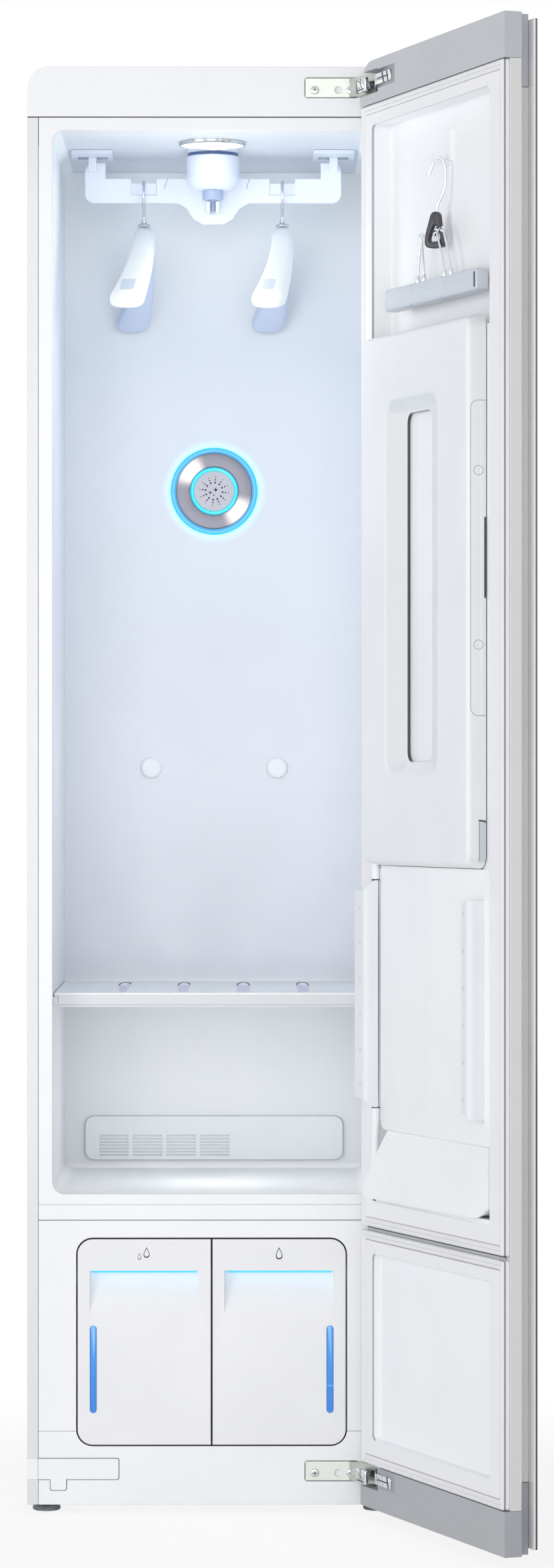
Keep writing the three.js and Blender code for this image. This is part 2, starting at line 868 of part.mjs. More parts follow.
function ventPanel() {
  const back = cavityDepth - seatGap;
  const front = back - ventThickness;
  const plate = alongY(roundRect(-half(ventWidth), half(ventWidth), ventBottom, ventTop, ventCorner),
    front, back);
  const slots = [];
  for (let column = 0; column < louvreColumns; column += 1) {
    const x = -louvreLeft + column * louvrePitchX;
    for (let row = 0; row < louvreRows; row += 1) {
      const z = louvreBottom + row * louvrePitchZ;
      slots.push(block(x, x + louvrePitchX - louvreGapX, front - cutOver, back + cutOver,
        z, z + louvreSlot));
    }
  }
  return cut(plate, slots);
}

function wallPad(x) {
  const back = cavityDepth - seatGap;
  return turnedY([
    [0, back - padThickness], [padRadius - half(padThickness), back - padThickness],
    [padRadius, back - half(padThickness)], [padRadius, back], [0, back],
  ], x, padHeight, fineSteps);
}

add(cabinet, 'cavity_liner', cavityLiner(), liner);
add(cabinet, 'shelf', shelfPlate(), liner);
add(cabinet, 'nozzle_light_ring',
  wallRing(lightRingRadius, steelRingRadius + seatGap, lightRingThickness), blueLight);
add(cabinet, 'nozzle_steel_ring',
  wallRing(steelRingRadius, innerRingRadius, steelRingThickness), brushed);
add(cabinet, 'nozzle_disc', nozzleDisc(), discGrey);
add(cabinet, 'vent_panel', ventPanel(), innerWhite);
add(cabinet, 'wall_pad_left', wallPad(-half(padSpacing)), innerWhite);
add(cabinet, 'wall_pad_right', wallPad(half(padSpacing)), innerWhite);

// Lamp, drive and hanger carriage under the ceiling

function lampHousing() {
  const top = cavityTop - seatGap;
  return turnedZ([
    [0, top - lampThickness], [lampRadius - lampThickness, top - lampThickness],
    [lampRadius, top - half(lampThickness)], [lampRadius, top], [0, top],
  ], 0, lampCentreY);
}

function motorCover() {
  const top = cavityTop - seatGap;
  const low = motorCoverBottom;
  const r = motorCoverRadius;
  const bore = crankShaftRadius + runClearance;
  const inside = low + motorCoverWall;
  return turnedZ([
    [bore, low], [r * coverFlatShare, low], [r * coverRoundShare, low + coverRound * coverLowShare],
    [r, low + coverRound], [r, top], [r - motorCoverWall, top],
    [r - motorCoverWall, low + coverRound], [r * coverFlatShare, inside], [bore, inside], [bore, low],
  ], 0, motorCentreY);
}

function crank() {
  const top = motorCoverBottom - seatGap;
  const low = top - crankHubHeight;
  const pinY = motorCentreY + crankRadius;
  return union([
    rodZ(0, motorCentreY, crankHubRadius, low, top),
    rodZ(0, motorCentreY, crankShaftRadius, low, cavityTop - crankHubHeight),
    block(-half(crankWebWidth), half(crankWebWidth), motorCentreY, pinY, low, top),
    rodZ(0, pinY, half(crankWebWidth), low, top, fineSteps),
    rodZ(0, pinY, crankPinRadius, low - crankPinLength, top, fineSteps),
  ]);
}

function slideBracket(side) {
  const x = side * bracketCentreX;
  const top = cavityTop - seatGap;
  const plate = alongZ(roundRect(x - half(bracketWidth), x + half(bracketWidth), bracketFront,
    bracketBack, bracketLand), top - bracketThickness, top);
  const slot = block(x - half(bracketSlotX), x + half(bracketSlotX), carriageY - half(bracketSlotY),
    carriageY + half(bracketSlotY), top - bracketThickness - cutOver, top + cutOver);
  return plate.subtract(slot);
}

// The outline of the carriage plate: a bar with two raised arms and a round lobe below
function carriageOutline() {
  const shape = new THREE.Shape();
  const out = carriageHalfWidth;
  const arm = out - carriageArmWidth;
  const r = carriageCorner;
  const bend = half(lobeHalfWidth + lobeFlat);
  shape.moveTo(-out, carriageArmTop - r);
  shape.lineTo(-out, carriageBarBottom + r);
  shape.absarc(-out + r, carriageBarBottom + r, r, Math.PI, threeQuarterTurn, false);
  shape.lineTo(-lobeHalfWidth, carriageBarBottom);
  shape.bezierCurveTo(-bend, carriageBarBottom, -bend, lobeBottom, -lobeFlat, lobeBottom);
  shape.lineTo(lobeFlat, lobeBottom);
  shape.bezierCurveTo(bend, lobeBottom, bend, carriageBarBottom, lobeHalfWidth, carriageBarBottom);
  shape.lineTo(out - r, carriageBarBottom);
  shape.absarc(out - r, carriageBarBottom + r, r, -quarterTurn, 0, false);
  shape.lineTo(out, carriageArmTop - r);
  shape.absarc(out - r, carriageArmTop - r, r, 0, quarterTurn, false);
  shape.lineTo(arm, carriageArmTop);
  shape.lineTo(arm, carriageBarTop);
  shape.lineTo(-arm, carriageBarTop);
  shape.lineTo(-arm, carriageArmTop);
  shape.lineTo(-out + r, carriageArmTop);
  shape.absarc(-out + r, carriageArmTop - r, r, quarterTurn, Math.PI, false);
  return shape;
}

function hangerCarriage() {
  const front = carriageY - half(carriageThickness);
  const back = carriageY + half(carriageThickness);
  const shoeBottom = cavityTop;
  const lifts = [-1, 1].flatMap((side) => {
    const x = side * bracketCentreX;
    return [
      block(x - half(tabWidth), x + half(tabWidth), carriageY - half(tabDepth),
        carriageY + half(tabDepth), carriageArmTop - carriageCorner, shoeBottom + shoeHeight),
      block(x - half(shoeWidth), x + half(shoeWidth), carriageY - half(shoeDepth),
        carriageY + half(shoeDepth), shoeBottom, shoeBottom + shoeHeight),
    ];
  });
  const forkInner = crankPinRadius + forkClearance;
  const forkTop = motorCoverBottom - seatGap - crankHubHeight - forkClearance;
  const ribs = [-1, 1].map((side) => block(
    Math.min(side * forkInner, side * (forkInner + forkRib)),
    Math.max(side * forkInner, side * (forkInner + forkRib)),
    front - forkReach, carriageY, forkTop - crankPinLength, forkTop));
  const trims = [-1, 1].flatMap((side) => {
    const x = side * half(hangerSpacing);
    const left = x - half(saddleWidth);
    const right = x + half(saddleWidth);
    const low = carriageBarBottom + carriageThickness;
    return [
      block(left, right, front - cutOver, back + cutOver, saddleTop, carriageBarTop + cutOver),
      block(left, right, front - cutOver, carriageY - half(saddleThickness), low, carriageBarTop),
      block(left, right, carriageY + half(saddleThickness), back + cutOver, low, carriageBarTop),
    ];
  });
  return cut(union([alongY(carriageOutline(), front, back), ...lifts, ...ribs]), trims);
}

add(cabinet, 'lamp_housing', lampHousing(), lampWhite);
add(cabinet, 'motor_cover', motorCover(), innerWhite);
add(cabinet, 'crank', crank(), steel);
add(cabinet, 'slide_bracket_left', slideBracket(-1), innerWhite);
add(cabinet, 'slide_bracket_right', slideBracket(1), innerWhite);
add(cabinet, 'hanger_carriage', hangerCarriage(), innerWhite);

// Coat hangers, hung over the saddles of the carriage

function hangerHook(x) {
  const path = hookInner + half(hookWire);
  const centreZ = saddleTop + seatGap - hookInner;
  const points = [];
  for (let i = 0; i <= hookTurnSteps; i += 1) {
    const turn = radians(hookTurnFrom + (hookTurnTo - hookTurnFrom) * (i / hookTurnSteps));
    points.push([x, carriageY + path * Math.cos(turn), centreZ + path * Math.sin(turn)]);
  }
  points.push([x, carriageY, hangerNeckTop + hookStem]);
  points.push([x, carriageY, hangerNeckTop + collarHeight]);
  points.push([x, carriageY, hangerNeckTop + seatGap + half(collarHeight)]);
  return wire(points, half(hookWire), hookWireSteps)
    .add(rodZ(x, carriageY, collarRadius, hangerNeckTop + seatGap,
      hangerNeckTop + seatGap + collarHeight, fineSteps));
}

// A closed skin through oval sections at places along Y
function ovalLoft(sections, sides) {
  const positions = [];
  const index = [];
  sections.forEach(({ x, y, z, halfX, halfZ }) => {
    for (let i = 0; i < sides; i += 1) {
      const turn = ((i + halfStep) / sides) * fullTurn;
      const c = Math.cos(turn);
      const s = Math.sin(turn);
      positions.push(x + halfX * Math.sign(c) * Math.sqrt(Math.abs(c)), y,
        z + halfZ * Math.sign(s) * Math.sqrt(Math.abs(s)));
    }
  });
  const last = sections.length - 1;
  for (let row = 0; row < last; row += 1) {
    for (let i = 0; i < sides; i += 1) {
      const a = row * sides + i;
      const b = row * sides + ((i + 1) % sides);
      index.push(a, a + sides, b, b, a + sides, b + sides);
    }
  }
  for (let i = 1; i < sides - 1; i += 1) {
    index.push(0, i, i + 1);
    index.push(last * sides, last * sides + i + 1, last * sides + i);
  }
  const geometry = new THREE.BufferGeometry();
  geometry.setAttribute('position', new THREE.Float32BufferAttribute(positions, 3));
  geometry.setIndex(index);
  return solid(geometry);
}

function hangerBody(x) {
  const neckZ = hangerNeckTop - half(hangerNeckHeight);
  const tipZ = hangerTipBottom + half(hangerTipHeight);
  const shares = hangerShares;
  const along = [...shares.slice(1).reverse().map((share) => -share), ...shares];
  const sections = along.map((share) => {
    const far = Math.abs(share);
    const ease = far ** hangerDropShare;
    const tail = Math.max(0, (far - hangerRoundShare) / (1 - hangerRoundShare));
    const shrink = Math.sqrt(1 - tail * tail * hangerEndShare);
    return {
      x: x - hangerBow * far * far,
      y: carriageY + hangerReach * share,
      z: THREE.MathUtils.lerp(neckZ, tipZ, ease),
      halfX: half(THREE.MathUtils.lerp(hangerNeckWidth, hangerTipWidth, ease)) * shrink,
      halfZ: half(THREE.MathUtils.lerp(hangerNeckHeight, hangerTipHeight, ease)) * shrink,
    };
  });
  return ovalLoft(sections, hangerSideCount);
}

for (const [name, side] of [['hanger_left', -1], ['hanger_right', 1]]) {
  const x = side * half(hangerSpacing);
  add(cabinet, `${name}_hook`, hangerHook(x), steel);
  add(cabinet, `${name}_body`, hangerBody(x), innerWhite);
}

// Tanks and their bay

function tankBay() {
  const front = frontThickness + seatGap;
  const reach = tankHalfWidth;
  const low = tankBottom + tankInset - tankSlideGap;
  const outer = block(-reach - bayWall, reach + bayWall, front, front + bayDepth + bayWall,
    low - bayWall, tankTop + bayWall);
  const inner = block(-reach, reach, front - cutOver, front + bayDepth, low, tankTop);
  const faceRoom = block(-reach - tankFaceGap, reach + tankFaceGap, front - cutOver,
    tankFrontThickness + seatGap, tankBottom - tankFaceGap, tankTop + tankFaceGap);
  return cut(outer, [inner, faceRoom]);
}

// One tank reaches from the split in the middle to its own side
function tankSpan(side, inset) {
  const near = half(tankSplit) + inset;
  const far = tankHalfWidth - inset;
  return side < 0 ? [-far, -near] : [near, far];
}

function tankBody(side) {
  const [x0, x1] = tankSpan(side, tankInset);
  const front = tankFrontThickness + seatGap;
  const low = tankBottom + tankInset;
  const top = tankTop - tankInset;
  const wide = tankHalfWidth - tankInset;
  const rounded = alongY(roundRect(-wide, wide, low, top, tankCorner - tankInset),
    front, front + tankDepth);
  const shell = rounded.intersect(block(x0, x1, front - cutOver, front + tankDepth + cutOver, low, top));
  const wideRoom = wide - tankWall;
  const roundRoom = alongY(roundRect(-wideRoom, wideRoom, low + tankWall, top - tankWall,
    tankCorner - tankInset - tankWall), front + tankWall, front + tankDepth - tankWall);
  const room = roundRoom.intersect(block(x0 + tankWall, x1 - tankWall, front, front + tankDepth,
    low, top));
  const middle = half(x0 + x1);
  const filler = block(middle - half(fillerWidth), middle + half(fillerWidth),
    front + fillerWidth, front + fillerWidth * 2, top - tankWall - cutOver, top + cutOver);
  return cut(shell, [room, filler]);
}

function tankFront(side) {
  const [x0, x1] = tankSpan(side, 0);
  const outer = roundRect(-tankHalfWidth, tankHalfWidth, tankBottom, tankTop, tankCorner);
  const plate = alongY(outer, 0, tankFrontThickness)
    .intersect(block(x0, x1, -cutOver, tankFrontThickness + cutOver, tankBottom, tankTop));
  const wedge = outline([
    [-cutOver, gripBottom], [0, gripBottom], [gripDepth, gripTop - gripLip], [gripDepth, gripTop],
    [-cutOver, gripTop],
  ]);
  const windowX = side < 0 ? x0 + windowInset : x1 - windowInset - windowWidth;
  const window = alongY(roundRect(windowX, windowX + windowWidth, windowBottom, windowTop,
    half(windowWidth) * slotRoundShare), -cutOver, windowDepth);
  return cut(plate, [alongX(wedge, x0 + gripInset, x1 - gripInset), window]);
}

add(cabinet, 'tank_bay', tankBay(), innerWhite);
add(cabinet, 'drain_tank', tankBody(-1), clampGrey);
add(cabinet, 'drain_tank_front', tankFront(-1), innerWhite);
add(cabinet, 'water_tank', tankBody(1), clampGrey);
add(cabinet, 'water_tank_front', tankFront(1), innerWhite);

// Machinery behind the tanks, standing on the base pan

function compressor() {
  const low = panTop + seatGap;
  const top = low + compressorHeight;
  const r = compressorRadius;
  return turnedZ([
    [0, low], [r, low], [r, top - compressorDome], [r * domeMidShare, top - compressorDome * domeLowShare],
    [r * domeInnerShare, top], [0, top],
  ], compressorX, compressorY, fineSteps);
}

function steamGenerator() {
  const low = panTop + seatGap;
  const top = low + boilerHeight;
  return block(boilerX - half(boilerWidth), boilerX + half(boilerWidth),
    boilerY - half(boilerDepth), boilerY + half(boilerDepth), low, top)
    .add(rodZ(boilerX, boilerY, boilerSpoutRadius, low, top + boilerSpoutHeight, fineSteps));
}

function blowerHousing() {
  const drum = rodY(blowerX, blowerZ, blowerRadius, blowerFront, blowerBack);
  const stand = block(blowerX - half(blowerFootWidth), blowerX + half(blowerFootWidth),
    blowerFront, blowerBack, panTop + seatGap, blowerZ);
  const room = rodY(blowerX, blowerZ, blowerRadius - blowerWall, blowerFront + blowerWall,
    blowerBack - blowerWall);
  const inlet = rodY(blowerX, blowerZ, fanRadius * inletShare, blowerFront - cutOver,
    blowerFront + blowerWall + cutOver);
  const shaftBore = rodY(blowerX, blowerZ, fanShaftRadius + runClearance,
    blowerBack - blowerWall - cutOver, blowerBack + cutOver, fineSteps);
  return cut(drum.add(stand), [room, inlet, shaftBore]);
}

function blowerFan() {
  const front = blowerFront + blowerWall * 2;
  const back = front + fanDepth;
  const parts = [
    rodY(blowerX, blowerZ, fanRadius, back - blowerWall, back),
    rodY(blowerX, blowerZ, fanHubRadius, front + blowerWall, back, fineSteps),
    rodY(blowerX, blowerZ, fanShaftRadius, back - blowerWall, blowerBack + blowerWall, fineSteps),
  ];
  for (let i = 0; i < fanBladeCount; i += 1) {
    const turn = (i / fanBladeCount) * fullTurn;
    const blade = new THREE.BoxGeometry(fanRadius * bladeShare, fanDepth - half(blowerWall),
      fanBladeThickness);
    blade.rotateY(bladeLean).translate(fanRadius * (1 - half(bladeShare)), 0, 0).rotateY(turn);
    blade.translate(blowerX, half(front + back - half(blowerWall)), blowerZ);
    parts.push(solid(blade));
  }
  return union(parts);
}

add(cabinet, 'compressor', compressor(), machineBlack);
add(cabinet, 'steam_generator', steamGenerator(), brushed);
add(cabinet, 'blower_housing', blowerHousing(), machineBlack);
add(cabinet, 'blower_fan', blowerFan(), edgeGrey);

// Hinges: a fixed plate with two ears and a pin, and a leaf that rides on the door

function hingePlate(bottom) {
  const top = bottom + hingePlateHeight;
  const back = hingePocketDepth - seatGap;
  const front = back - hingePlateThickness;
  const root = hingePlateRight - hingeRootWidth;
  const r = hingeBarrelRadius;
  const ear = outline([
    [root, front], [root, back], [hingePlateRight, back], [hingePlateRight, -seatGap],
    [pivotX + r * earSideShare, pivotY + r * earBackShare],
    [pivotX - r * earBackShare, pivotY - r * earSideShare],
  ]);
  const ears = [[bottom, bottom + hingeEar], [top - hingeEar, top]].flatMap(([low, high]) => [
    alongZ(ear, low, high),
    rodZ(pivotX, pivotY, r, low, high, fineSteps),
  ]);
  const screwZ = bottom + hingePlateHeight * screwHeightShare;
  const screws = [hingePlateLeft + screwInset, hingePlateLeft + screwInset + screwPitch].map((x) =>
    rodY(x, screwZ, screwRadius, front - screwProud, back, fineSteps));
  const keyhole = rodY(hingePlateLeft + keyholeInset, screwZ, keyholeRadius, front - cutOver,
    back + cutOver, fineSteps);
  const plate = block(hingePlateLeft, hingePlateRight, front, back, bottom, top);
  return union([plate.subtract(keyhole), ...ears, ...screws,
    rodZ(pivotX, pivotY, hingePinRadius, bottom, top, fineSteps)]);
}

add(cabinet, 'hinge_plate_upper', hingePlate(hingeUpperZ), steel);
add(cabinet, 'hinge_plate_lower', hingePlate(hingeLowerZ), steel);

// The door is drawn about its pivot: X runs along its width and Y towards its outer face
const door = new THREE.Group();
door.position.set(pivotX, pivotY, 0);
door.rotation.z = radians(180 + doorOpening);

const alongDoor = (s) => s - doorHingeInset;
const intoDoor = (d) => -doorFaceInset - d;

// A block between widths s0 and s1, inward depths d0 and d1, and heights z0 and z1
function slab(s0, s1, d0, d1, z0, z1) {
  return block(alongDoor(s0), alongDoor(s1), intoDoor(d1), intoDoor(d0), z0, z1);
}

// A rounded panel in the plane of the door
function panel(s0, s1, z0, z1, radius, d0, d1) {
  return alongY(roundRect(alongDoor(s0), alongDoor(s1), z0, z1, radius), intoDoor(d1), intoDoor(d0));
}

const glassInner = -doorThickness + glassThickness;
const frameBack = glassInner + seatGap;
const grooveFloor = doorWidth - grooveDepth - capInnerInset;

function hingeNotch(bottom) {
  const middle = bottom + half(hingePlateHeight);
  const tall = half(hingePocketTall);
  const slotTall = half(hingeLeafThickness) + seatGap;
  return union([
    slab(-cutOver, hingePocketMouth, -hingeNotchDepth, cutOver, middle - tall, middle + tall),
    slab(-cutOver, hingePocketLength + seatGap * 2 + doorHingeInset,
      -doorFaceInset - half(hingeLeafThickness) - seatGap,
      -doorFaceInset + half(hingeLeafThickness) + seatGap, middle - slotTall, middle + slotTall),
  ]);
}

function doorCap(low, high, tailLow, tailHigh, notchBottom) {
  const main = slab(capInnerInset, doorWidth, frameBack, -capInnerInset, low, high);
  const tail = slab(grooveFloor - capTailWidth, grooveFloor, frameBack, -grooveFront, tailLow, tailHigh);
  const groove = slab(grooveFloor, doorWidth + cutOver, frameBack - cutOver, -grooveFront,
    low - cutOver, high + cutOver);
  return cut(main.add(tail), [groove, hingeNotch(notchBottom)]);
}

function roundHingeCorner(cap) {
  const r = capHingeRadius;
  const s0 = alongDoor(capInnerInset);
  const shape = new THREE.Shape();
  shape.moveTo(s0 - cutOver, cabinetHeight + cutOver);
  shape.lineTo(s0 - cutOver, cabinetHeight - r);
  shape.lineTo(s0, cabinetHeight - r);
  shape.absarc(s0 + r, cabinetHeight - r, r, Math.PI, quarterTurn, true);
  shape.lineTo(s0 + r, cabinetHeight + cutOver);
  return cap.subtract(alongY(shape, intoDoor(cutOver), intoDoor(frameBack - cutOver)));
}

function doorFrame() {
  const front = -frameInner;
  const low = capSplitBottom + seatGap;
  const high = capSplitTop - seatGap;
  const edge = doorWidth - capInnerInset;
  const ring = slab(capInnerInset, edge, frameBack, front, low, high);
  const room = slab(capInnerInset + frameSide, edge - frameSide, frameBack - cutOver,
    front + cutOver, low + frameBottom, high - frameTop);
  const groove = slab(grooveFloor, edge + cutOver, -grooveBack, -grooveFront, low - cutOver,
    high + cutOver);
  const tails = [[high - capTail - seatGap, high + cutOver], [low - cutOver, low + capTail + seatGap]]
    .map(([z0, z1]) => slab(grooveFloor - capTailWidth - seatGap, edge + cutOver, frameBack - cutOver,
      -grooveFront + seatGap, z0, z1));
  return cut(ring, [room, groove, ...tails]);
}

function gasket(low, high) {
  const s0 = gasketEdge;
  const s1 = doorWidth - gasketEdge;
  const w = gasketWidth;
  const base = -frameInner + seatGap;
  const body = panel(s0, s1, low, high, gasketCorner, base, gasketProud);
  const room = panel(s0 + w, s1 - w, low + w, high - w, gasketCorner, base - cutOver,
    gasketProud + cutOver);
  return body.subtract(room);
}

const upperGasketLow = gasketSplit + half(gasketGap);
const upperGasketHigh = capSplitTop - gasketBase;
const lowerGasketLow = capSplitBottom + gasketBase;
const lowerGasketHigh = gasketSplit - half(gasketGap);
const rimInset = gasketWidth + seatGap;

// A tray with a flat rim inside its gasket and a recess pressed towards the glass
function doorTray(gasketLow, gasketHigh, low, high, depth) {
  const rim = panel(gasketEdge + rimInset, doorWidth - gasketEdge - rimInset, gasketLow + rimInset,
    gasketHigh - rimInset, gasketCorner, -trayRimDepth - trayWall, -trayRimDepth);
  const bowl = panel(traySideLeft - trayWall, traySideRight + trayWall, low - trayWall,
    high + trayWall, trayCorner + trayWall, -depth - trayWall, -trayRimDepth);
  const room = panel(traySideLeft, traySideRight, low, high, trayCorner, -depth, cutOver);
  return rim.add(bowl).subtract(room);
}

function postStub(s, d, radius, low, high) {
  return union([
    rodZ(alongDoor(s), intoDoor(d), radius, low, high, fineSteps),
    slab(s - radius, s + radius, -trayUpperDepth - half(trayWall), d, low, high),
  ]);
}

function trouserPeg() {
  const floor = -trayUpperDepth - half(trayWall);
  const left = doorHookS - half(doorHookWidth);
  const right = doorHookS + half(doorHookWidth);
  const s0 = doorHookS - half(doorHookPeg);
  const s1 = doorHookS + half(doorHookPeg);
  const tip = clampD + pegTipGap;
  return union([
    slab(left, right, floor, -trayUpperDepth + doorHookThickness, doorHookTop - doorHookBase,
      doorHookTop),
    slab(s0, s1, floor, tip, pegZ, pegZ + pegHeight),
    slab(s0, s1, tip - doorHookPeg, tip, pegZ, pegZ + pegHeight + pegLip),
  ]);
}

function upperTray() {
  const floor = -trayUpperDepth - half(trayWall);
  const pins = [
    [pressBottom - pressPostGap - pressPostTall, pressBottom - pressPostGap, 1],
    [pressTop + pressPostGap, pressTop + pressPostGap + pressPostTall, -1],
  ].flatMap(([low, high, way]) => [
    postStub(pressPivotS, pressPivotD, pressPostRadius, low, high),
    rodZ(alongDoor(pressPivotS), intoDoor(pressPivotD), pressPinRadius,
      Math.min(low, low + way * pressPinReach), Math.max(high, high + way * pressPinReach), fineSteps),
  ]);
  const wingStubs = [wingLeftS, wingRightS].flatMap((s) => [
    postStub(s, wingRootD, wingPostRadius, wingTop + seatGap, wingTop + wingStubTall),
    postStub(s, wingRootD, wingPostRadius, wingBottom - wingStubTall, wingBottom - seatGap),
  ]);
  return union([
    doorTray(upperGasketLow, upperGasketHigh, trayUpperBottom, trayUpperTop, trayUpperDepth),
    slab(boardLeft, boardRight, floor, boardFace, pressBottom + boardInset, pressTop - boardInset),
    slab(legPanelLeft, legPanelRight, floor, legPanelFace, deflectorTop, wingTop + wingStubTall),
    ...pins,
    ...wingStubs,
    trouserPeg(),
  ]);
}

add(door, 'door_glass', slab(0, doorWidth, -doorThickness, glassInner, glassBottom, glassTop), glass);
add(door, 'door_frame', doorFrame(), edgeGrey);
add(door, 'door_top_cap', roundHingeCorner(doorCap(capSplitTop, cabinetHeight,
  capSplitTop - capTail, capSplitTop + cutOver, hingeUpperZ)), capGrey);
add(door, 'door_bottom_cap', doorCap(doorBottom, capSplitBottom, capSplitBottom - cutOver,
  capSplitBottom + capTail, hingeLowerZ), capGrey);
add(door, 'gasket_upper', gasket(upperGasketLow, upperGasketHigh), softWhite);
add(door, 'gasket_lower', gasket(lowerGasketLow, lowerGasketHigh), softWhite);
add(door, 'door_tray_upper', upperTray(), innerWhite);
add(door, 'door_tray_lower', doorTray(lowerGasketLow, lowerGasketHigh, trayLowerBottom,
  trayLowerTop, trayLowerDepth), innerWhite);

function hingeLeaf(bottom) {
  const middle = bottom + half(hingePlateHeight);
  const tall = half(hingeLeafThickness) - seatGap;
  return union([
    rodZ(0, 0, hingeBarrelRadius, middle - tall, middle + tall, fineSteps),
    block(0, hingePocketLength, -half(hingeLeafThickness), half(hingeLeafThickness),
      middle - tall, middle + tall),
  ]).subtract(rodZ(0, 0, hingePinRadius + runClearance, bottom - cutOver,
    bottom + hingePlateHeight + cutOver, fineSteps));
}

add(door, 'hinge_leaf_upper', hingeLeaf(hingeUpperZ), steel);
add(door, 'hinge_leaf_lower', hingeLeaf(hingeLowerZ), steel);

// Trouser press

// A frustum between two rounded outlines in the plane of the door
function taperedPanel(back, front) {
  const rings = [back, front].map(({ s0, s1, z0, z1, radius, d }) => {
    const points = roundRect(alongDoor(s0), alongDoor(s1), z0, z1, radius).extractPoints(cornerSteps).shape;
    return points.slice(0, -1).map((p) => [p.x, intoDoor(d), p.y]);
  });
  const count = rings[0].length;
  const index = [];
  for (let i = 0; i < count; i += 1) {
    const j = (i + 1) % count;
    index.push(i, j, i + count, j, j + count, i + count);
    if (i > 0 && i < count - 1) {
      index.push(0, i + 1, i);
      index.push(count, count + i, count + i + 1);
    }
  }
  const geometry = new THREE.BufferGeometry();
  geometry.setAttribute('position', new THREE.Float32BufferAttribute(rings.flat(2), 3));
  geometry.setIndex(index);
  return solid(geometry);
}

function pressCover() {
  const outer = taperedPanel(
    { s0: pressLeft, s1: pressRight, z0: pressBottom, z1: pressTop, radius: pressCorner, d: pressBack },
    {
      s0: pressLeft + pressTaper, s1: pressRight - pressTaper, z0: pressBottom + pressTaper,
      z1: pressTop - pressTaper, radius: pressCorner, d: pressFace,
    });
  const w = pressWall;
  const room = taperedPanel(
    {
      s0: pressLeft + w, s1: pressRight - w, z0: pressBottom + w, z1: pressTop - w,
      radius: pressCorner - w, d: pressBack - cutOver,
    },
    {
      s0: pressLeft + pressTaper + w, s1: pressRight - pressTaper - w,
      z0: pressBottom + pressTaper + w, z1: pressTop - pressTaper - w, radius: pressCorner - w,
      d: pressFace - w,
    });
  const funnel = (grow, from, to) => taperedPanel(
    {
      s0: pressSlotLeft - grow, s1: pressSlotRight + grow, z0: pressSlotBottom - grow,
      z1: pressSlotTop + grow, radius: pressCorner * slotCornerShare, d: from,
    },
    {
      s0: pressWindowLeft - grow, s1: pressWindowRight + grow, z0: pressWindowBottom - grow,
      z1: pressWindowTop + grow, radius: pressCorner, d: to,
    });
  const well = funnel(w, pressSlotFace - w, pressFace);
  const mouth = funnel(0, pressSlotFace, pressFace + seatGap);
  const slot = panel(pressSlotLeft, pressSlotRight, pressSlotBottom, pressSlotTop,
    pressCorner * slotCornerShare, pressSlotFace - w - cutOver, pressSlotFace + cutOver);
  const knuckles = [[pressBottom, pressBottom + pressKnuckle], [pressTop - pressKnuckle, pressTop]]
    .map(([low, high]) => union([
      rodZ(alongDoor(pressPivotS), intoDoor(pressPivotD), pressPostRadius, low, high, fineSteps),
      slab(pressPivotS, pressLeft + pressTaper, pressPivotD - pressPostRadius,
        pressPivotD + half(pressPostRadius), low, high),
    ]));
  const bore = rodZ(alongDoor(pressPivotS), intoDoor(pressPivotD), pressPinRadius + runClearance,
    pressBottom - cutOver, pressTop + cutOver, fineSteps);
  const latchRoom = slab(latchSeat - seatGap, pressRight + cutOver, latchFace - latchDepth - seatGap,
    latchFace + seatGap, latchBottom - seatGap, latchTop + seatGap);
  const shell = cut(outer.subtract(room).add(well), [mouth, slot]);
  return cut(union([shell, ...knuckles]), [bore, latchRoom]);
}

function pressLatch() {
  return slab(latchSeat + latchTravel, latchSeat + latchTravel + latchThickness,
    latchFace - latchDepth, latchFace, latchBottom, latchTop);
}

add(door, 'press_cover', pressCover(), innerWhite);
add(door, 'press_latch', pressLatch(), innerWhite);

// Leg wings: a wall standing on its root post, with a plate along its front edge
function wing(s, plate) {
  const wall = half(wingWall);
  return union([
    rodZ(alongDoor(s), intoDoor(wingRootD), wingPostRadius, wingBottom, wingTop, fineSteps),
    slab(s - wall, s + wall, wingRootD, wingDeep, wingBottom, wingTop),
    slab(s - plate, s + wall, wingDeep - wingWall, wingDeep, wingBottom, wingTop),
  ]);
}

function deflector() {
  const left = alongDoor(deflectorLeft);
  const right = alongDoor(deflectorRight);
  const back = intoDoor(-trayUpperDepth + seatGap);
  const face = outline([
    [back, deflectorTop - seatGap], [intoDoor(deflectorTopD), deflectorTop - seatGap],
    [intoDoor(deflectorBottomD), deflectorBottom],
    [intoDoor(deflectorBottomD) + deflectorThickness, deflectorBottom - half(deflectorThickness)],
    [intoDoor(deflectorTopD), deflectorBottom + deflectorThickness],
    [back, deflectorBottom + deflectorThickness],
  ]);
  const slope = outline([
    [left - cutOver, deflectorTop + cutOver], [left - cutOver, deflectorBottom + deflectorThickness],
    [left, deflectorBottom + deflectorThickness], [alongDoor(deflectorTopLeft), deflectorTop + cutOver],
  ]);
  return alongX(face, left, right)
    .subtract(alongY(slope, intoDoor(deflectorBottomD + cutOver), back + cutOver));
}

add(door, 'wing_left', wing(wingLeftS, wingLeftPlate), innerWhite);
add(door, 'wing_right', wing(wingRightS, wingRightPlate), innerWhite);
add(door, 'deflector', deflector(), innerWhite);

// Trouser hanger on the door's peg

const doorPoint = (s, d, z) => [alongDoor(s), intoDoor(d), z];

